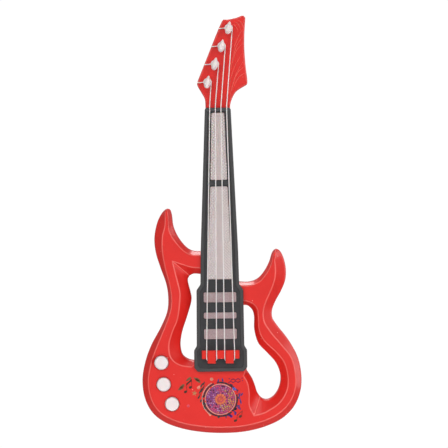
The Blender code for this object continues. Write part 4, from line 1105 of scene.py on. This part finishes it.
def head_relief():
    lines = [
        [(11.0, 124.0), (13.5, 138.0), (18.5, 152.0), (25.5, 164.0)],
        [(10.0, 128.0), (12.0, 144.0), (16.5, 158.0), (24.5, 172.0)],
        [(12.2, 131.0), (15.6, 143.5), (20.0, 152.5), (26.2, 158.0)],
        [(13.5, 133.5), (17.6, 142.5), (22.0, 148.5), (27.0, 151.5)],
        [(11.6, 150.0), (14.6, 164.0), (18.6, 174.0), (24.5, 181.0)],
        [(13.2, 160.0), (16.0, 171.5), (19.5, 180.0), (24.6, 188.0)],
        [(15.0, 172.0), (17.6, 181.0), (20.6, 188.0), (25.0, 195.5)],
        [(14.0, 200.5), (17.0, 199.0), (19.2, 196.0), (20.6, 192.0)],
        [(16.6, 203.0), (19.8, 201.2), (22.0, 197.8), (23.2, 193.6)],
        [(19.6, 205.0), (22.4, 203.2), (24.2, 200.2), (25.2, 196.4)]]
    relief = [ribbon(line, 0.9, HEAD_DECK - 0.1, HEAD_DECK + 0.45) for line in lines]
    # the relief lines are in the paler red: painted highlights on their ridges
    piece("head_relief", merged(relief), HIGHLIGHT_RED, crisp=60)
    collar = rounded(rectangle(-12.4, 10.6, 117.7, 121.6), 0.6)
    piece("head_collar", cushion(collar, HEAD_DECK - 0.2, HEAD_DECK + 0.5, 0.35), RED)


def band(centre, inner, outer, start, end, sides=24):
    """A part of a ring between two angles, in degrees."""
    turns = [math.radians(start + (end - start) * i / sides) for i in range(sides + 1)]
    return ([polar(centre, outer, a) for a in turns]
            + [polar(centre, inner, a) for a in turns[::-1]])


def petal(centre, inner, outer, angle, half_angle):
    """A pointed petal of a rosette."""
    points = []
    sides = 8
    for side in (1, -1):
        for step in range(sides + 1):
            t = step / sides if side == 1 else 1 - step / sides
            radius = inner + (outer - inner) * t
            turn = math.radians(angle + side * half_angle * math.sin(math.pi * t) ** 0.8)
            points.append(polar(centre, radius, turn))
    return points[:sides + 1] + points[sides + 2:-1]


def oval(x, y, wide, high, tilt=0.5, sides=14):
    turns = [2 * math.pi * i / sides for i in range(sides)]
    return [(x + wide * math.cos(a) * math.cos(tilt) - high * math.sin(a) * math.sin(tilt),
             y + wide * math.cos(a) * math.sin(tilt) + high * math.sin(a) * math.cos(tilt))
            for a in turns]


def note_pair(first, second, rise, beam):
    """Two music notes joined by a beam; rise is the way from a head to its stem's end."""
    shapes = [oval(*first, 1.7, 1.25), oval(*second, 1.7, 1.25)]
    ends = []
    for x, y in (first, second):
        foot = (x + 1.2, y + 0.6)
        ends.append((foot[0] + rise[0], foot[1] + rise[1]))
        shapes.append([foot, (foot[0] + STEM, foot[1]), (ends[-1][0] + STEM, ends[-1][1]), ends[-1]])
    (left, low), (right, high) = ends
    shapes.append([(left, low - beam), (right + STEM, high - beam), (right + STEM, high), (left, low)])
    return shapes


def slash(x, y, length, turn):
    """A short brush stroke, pointed at both ends, turned from upright."""
    return leaf((x, y), length / 2, 0.75, math.radians(turn), sides=16)


def star(x, y, outer, inner, points=5):
    return [(x + (outer if i % 2 == 0 else inner) * math.sin(math.pi * i / points + 0.2),
             y + (outer if i % 2 == 0 else inner) * math.cos(math.pi * i / points + 0.2))
            for i in range(2 * points)][::-1]


def print_layer(name, colour, loops, depth):
    """Shapes of one ink; later layers lie a little higher."""
    pressed = merged([prism(loop, DECK - 0.05, DECK + depth) for loop in loops])
    piece(name, pressed, ink(f"ink_{name}", colour), crisp=60)


def mosaic(centre, draw):
    """Rings of small dabs, sorted by ink: violet at the left, orange at the right."""
    dabs = {"violet": [], "lilac": [], "magenta": [], "orange": [], "yellow": [], "navy": []}
    for radius, count, size in ((6.6, 20, 0.62), (8.2, 24, 0.60), (9.8, 30, 0.66),
                                (11.5, 34, 0.62), (13.2, 40, 0.66)):
        for i in range(count):
            turn = 2 * math.pi * (i + draw.uniform(-0.2, 0.2)) / count
            right = math.cos(turn + 0.35) + draw.uniform(-0.45, 0.45)
            inks = (("violet", "lilac") if right < -0.45 else ("magenta", "magenta", "lilac")
                    if right < 0.45 else ("orange", "yellow", "magenta"))
            ink_name = "navy" if draw.random() < 0.14 else draw.choice(inks)
            dabs[ink_name].append(oval(*polar(centre, radius, turn),
                                       size * draw.uniform(0.9, 1.5), size, turn + 1.57, 8))
    return dabs


def splashes(centre, draw, start, end, count, near, far):
    """Ragged blots round the rosette between two angles."""
    blots = []
    for _ in range(count):
        angle, radius = math.radians(draw.uniform(start, end)), draw.uniform(near, far)
        size = draw.uniform(0.5, 1.5)
        x, y = polar(centre, radius, angle)
        blots.append([(x + size * draw.uniform(0.6, 1.3) * math.cos(a),
                       y + size * draw.uniform(0.6, 1.3) * math.sin(a))
                      for a in (2 * math.pi * j / 9 for j in range(9))])
    return blots


def printed_rosette():
    """A generic flower rosette with splashes and small notes; there is no lettering."""
    draw = random.Random(7)
    centre = (-1.7, -174.8)
    print_layer("print_splashes_navy", (0.025, 0.03, 0.10),
                splashes(centre, draw, -80, 60, 26, 16.5, 19.6), 0.05)
    print_layer("print_splashes_green", (0.03, 0.05, 0.045),
                splashes(centre, draw, 150, 290, 22, 16.4, 18.2), 0.05)
    print_layer("print_splashes_violet", (0.10, 0.03, 0.25),
                splashes(centre, draw, -70, -20, 9, 17.6, 21.0), 0.06)
    rim = [band(centre, 16.0, 17.6, start, start + length)
           for start, length in ((-150, 100), (-44, 60), (32, 70), (112, 62), (180, 26))]
    print_layer("print_outer_ring", (0.03, 0.03, 0.04), rim, 0.07)
    print_layer("print_disc", (0.30, 0.05, 0.15), [circle(centre, 14.6, 64)], 0.05)
    halves = [band(centre, 14.9, 15.45, start, end)
              for start, end in ((-170, -60), (-54, 40), (46, 124), (132, 184))]
    halves.append(band(centre, 18.2, 18.7, 118, 232))
    print_layer("print_light_ring", (0.52, 0.50, 0.42), halves, 0.09)
    inks = {"violet": (0.20, 0.08, 0.34), "lilac": (0.50, 0.25, 0.48),
            "magenta": (0.70, 0.08, 0.20), "orange": (0.72, 0.20, 0.05),
            "yellow": (0.62, 0.42, 0.08), "navy": (0.02, 0.02, 0.05)}
    for name, loops in mosaic(centre, draw).items():
        print_layer("print_dabs_" + name, inks[name], loops, 0.09)
    petals = [petal(centre, 3.4, 6.0, 30.0 * i, 12.0) for i in range(12)]
    print_layer("print_centre", (0.74, 0.13, 0.07), [circle(centre, 5.2, 32)], 0.08)
    print_layer("print_centre_petals", (0.76, 0.20, 0.08), petals, 0.10)
    print_layer("print_centre_ring", (0.50, 0.05, 0.12),
                [band(centre, 2.2, 2.9, 0, 359.9, 40)], 0.11)
    notes = note_pair((-36.6, -166.9), (-31.6, -162.5), (-0.4, 7.6), 2.0)
    notes += note_pair((13.0, -196.3), (17.9, -192.2), (0.6, 5.2), 0.7)
    print_layer("print_notes", (0.045, 0.03, 0.02), notes, 0.06)
    leaves = [leaf(at, 3.2, 1.2, math.radians(turn)) for at, turn in
              (((-40.2, -161.4), 125), ((-25.4, -154.2), 65), ((-24.2, -156.0), 60),
               ((-41.4, -163.6), 120), ((-33.4, -154.4), 125))]
    print_layer("print_leaves", (0.20, 0.11, 0.05), leaves, 0.06)
    print_layer("print_stars", (0.55, 0.22, 0.10), [star(-27.6, -168.4, 3.2, 1.2)], 0.06)
    drops = [leaf((-23.2, -162.4), 2.2, 1.3, -0.7), circle((-10.3, -154.6), 1.7, 12),
             leaf((-12.6, -189.6), 1.8, 1.1, 0.6)]
    print_layer("print_drops", (0.80, 0.27, 0.19), drops, 0.06)
    print_layer("print_pink_dot", (0.80, 0.08, 0.12), [circle((-34.0, -181.0), 1.5, 14)], 0.05)
    print_layer("print_blue_blot", (0.10, 0.13, 0.50), [oval(12.2, -164.6, 2.3, 1.4, -0.5)], 0.08)
    strokes = [slash(x, y, length, -28) for x, y, length in
               ((-20.2, -160.4, 5.0), (-21.4, -166.0, 7.0), (-22.8, -171.5, 6.0),
                (-19.2, -164.0, 8.0), (-20.8, -175.5, 5.0), (-18.2, -158.6, 4.0))]
    print_layer("print_strokes_dark", (0.04, 0.045, 0.04), strokes, 0.07)
    strokes = [slash(x, y, length, turn) for x, y, length, turn in
               ((17.4, -171.0, 6.0, -14), (18.2, -176.5, 7.0, 12), (16.6, -183.0, 6.0, 38),
                (19.8, -170.0, 4.0, -35), (-3.6, -156.0, 4.0, -20), (0.6, -155.4, 4.6, 10),
                (12.4, -187.6, 5.0, 55))]
    print_layer("print_strokes_blue", (0.035, 0.04, 0.20), strokes, 0.07)
    waves = [ribbon_loop([(left + step * 2.4, base + (1.3 if step % 2 else 0.0) + step * 0.1)
                          for step in range(count)], 0.8)
             for left, base, count in ((6.4, -158.4, 6), (8.8, -156.0, 5))]
    drips = [circle((x, y), 0.6, 12) for x, y in ((20.4, -156.4), (20.2, -153.8), (7.4, -154.4))]
    print_layer("print_waves", (0.14, 0.01, 0.06), waves + drips, 0.06)


def ribbon_loop(points, width):
    """A flat line of even width along points."""
    line, normal = course(points)
    side = normal * width / 2
    return [tuple(p) for p in line - side] + [tuple(p) for p in (line + side)[::-1]]


# ---------------------------------------------------------------- kept CAD pieces

def dress_kept_nodes():
    board = circuit_board("circuit_board")
    looks = {
        "red_body": RED, "dark_plate": DARK, "clear_window": WINDOW, "ivory": IVORY,
        "nylon": NYLON, "steel": STEEL, "rubber": BLACK,
        "black_plastic": dark_plastic("black_plastic", (0.02, 0.02, 0.02), 0.45),
        "board_green": board,
        "led_red": ivory_plastic("led_lens", (0.7, 0.1, 0.08), 0.2),
        "paper_cone": rubber_like("paper_cone", (0.02, 0.02, 0.02), 0.9),
        "cell_wrap": dark_plastic("cell_wrap", (0.055, 0.06, 0.10), 0.3),
        "wire_red": rubber_like("wire_red", (0.6, 0.02, 0.02), 0.5),
        "wire_black": rubber_like("wire_black", (0.02, 0.02, 0.02), 0.5),
        "wire_yellow": rubber_like("wire_yellow", (0.5, 0.4, 0.02), 0.5),
        "wire_grey": rubber_like("wire_grey", (0.5, 0.5, 0.52), 0.5)}
    slots = {row["node"]: row["material_slot"] for row in frame["record"]["subparts"]}
    for name, node in frame["nodes"].items():
        node.data.materials.clear()
        node.data.materials.append(looks[slots[name]])


# ---------------------------------------------------------------- camera, light, stage

def area_light(name, place, size, power, target=(0.0, 0.0, 0.0)):
    data = bpy.data.lights.new(name, "AREA")
    data.shape = "RECTANGLE"
    data.size, data.size_y = size
    data.energy = power
    made = bpy.data.objects.new(name, data)
    made.location = place
    made.rotation_euler = (Vector(target) - Vector(place)).to_track_quat("-Z", "Y").to_euler()
    bpy.context.scene.collection.objects.link(made)


def camera():
    distance, face_y = 3.0, (BACK_Y - DECK) * MM
    data = bpy.data.cameras.new("camera")
    data.sensor_width = 36.0
    data.lens = 36.0 * distance / 0.448
    data.clip_end = 20.0
    made = bpy.data.objects.new("camera", data)
    made.location = (0.0039, face_y - distance, 0.00045)
    made.rotation_mode = "XYZ"
    ahead = Vector((0, 1, 0)).to_track_quat("-Z", "Y").to_matrix()
    made.rotation_euler = (ahead @ Matrix.Rotation(CAMERA_ROLL, 3, "Z")).to_euler()
    bpy.context.scene.collection.objects.link(made)
    bpy.context.scene.camera = made


def studio_white():
    """Plain white to the camera, and a dim pale surface to everything else."""
    look = bpy.data.materials.new("studio_white")
    look.use_nodes = True
    tree = look.node_tree
    shader = tree.nodes["Principled BSDF"]
    shader.inputs["Base Color"].default_value = (0.4, 0.4, 0.4, 1.0)
    shader.inputs["Roughness"].default_value = 0.9
    plain = tree.nodes.new("ShaderNodeEmission")
    plain.inputs["Strength"].default_value = 1.0
    seen = tree.nodes.new("ShaderNodeLightPath").outputs["Is Camera Ray"]
    mix = tree.nodes.new("ShaderNodeMixShader")
    tree.links.new(seen, mix.inputs["Fac"])
    tree.links.new(shader.outputs["BSDF"], mix.inputs[1])
    tree.links.new(plain.outputs["Emission"], mix.inputs[2])
    tree.links.new(mix.outputs["Shader"], tree.nodes["Material Output"].inputs["Surface"])
    return look


def studio():
    """A pale floor and plain soft light; both the floor and the air show white."""
    bm = bmesh.new()
    corners = ((-6.0, -6.0), (6.0, -6.0), (6.0, 6.0), (-6.0, 6.0))
    bm.faces.new([bm.verts.new((x, y, FLOOR_Z)) for x, y in corners])
    floor = as_object(bm, "studio_floor")
    floor.data.materials.append(studio_white())
    world = bpy.data.worlds.new("studio")
    bpy.context.scene.world = world
    world.use_nodes = True
    world.node_tree.nodes["Background"].inputs["Color"].default_value = (1.0, 1.0, 1.0, 1.0)
    seen = world.node_tree.nodes.new("ShaderNodeLightPath").outputs["Is Camera Ray"]
    level = world.node_tree.nodes.new("ShaderNodeMapRange")
    level.inputs["To Min"].default_value = AIR_GLOW
    level.inputs["To Max"].default_value = AIR_SEEN
    world.node_tree.links.new(seen, level.inputs["Value"])
    world.node_tree.links.new(level.outputs["Result"],
                              world.node_tree.nodes["Background"].inputs["Strength"])
    area_light("left_box", (-1.5, -1.3, 0.6), (1.1, 1.4), 10.0)
    area_light("right_box", (1.5, -1.3, 0.5), (1.1, 1.4), 13.0)
    area_light("top_box", (-0.2, -1.6, 1.5), (1.5, 0.9), 11.0)
    area_light("front_fill", (0.0, -3.3, 0.3), (2.6, 2.6), 9.5)
    area_light("low_light", (0.0, -0.55, -0.8), (1.2, 0.3), 3.5, target=(0.0, 0.0, -0.2))
    area_light("right_back", (1.4, 0.5, 0.3), (0.8, 1.6), 8.0)
    area_light("back_fill", (0.0, 1.7, 2.0), (1.2, 1.0), 26.0)
    bpy.context.scene.view_settings.view_transform = "Standard"


def build():
    pairs = body_pairs()
    front_shell(pairs)
    back_shell(pairs)
    battery_door()
    neck_plate()
    lens("upper_window_lens", UPPER_WINDOW, "upper_light_window", WINDOW)
    lens("lower_window_lens", LOWER_WINDOW, "lower_light_window", WINDOW)
    for number, span in enumerate(PICKUPS, 1):
        pickup(number, span)
    bridge()
    strings()
    tuning_pegs()
    buttons()
    head_relief()
    printed_rosette()
    dress_kept_nodes()
    camera()
    studio()


build()
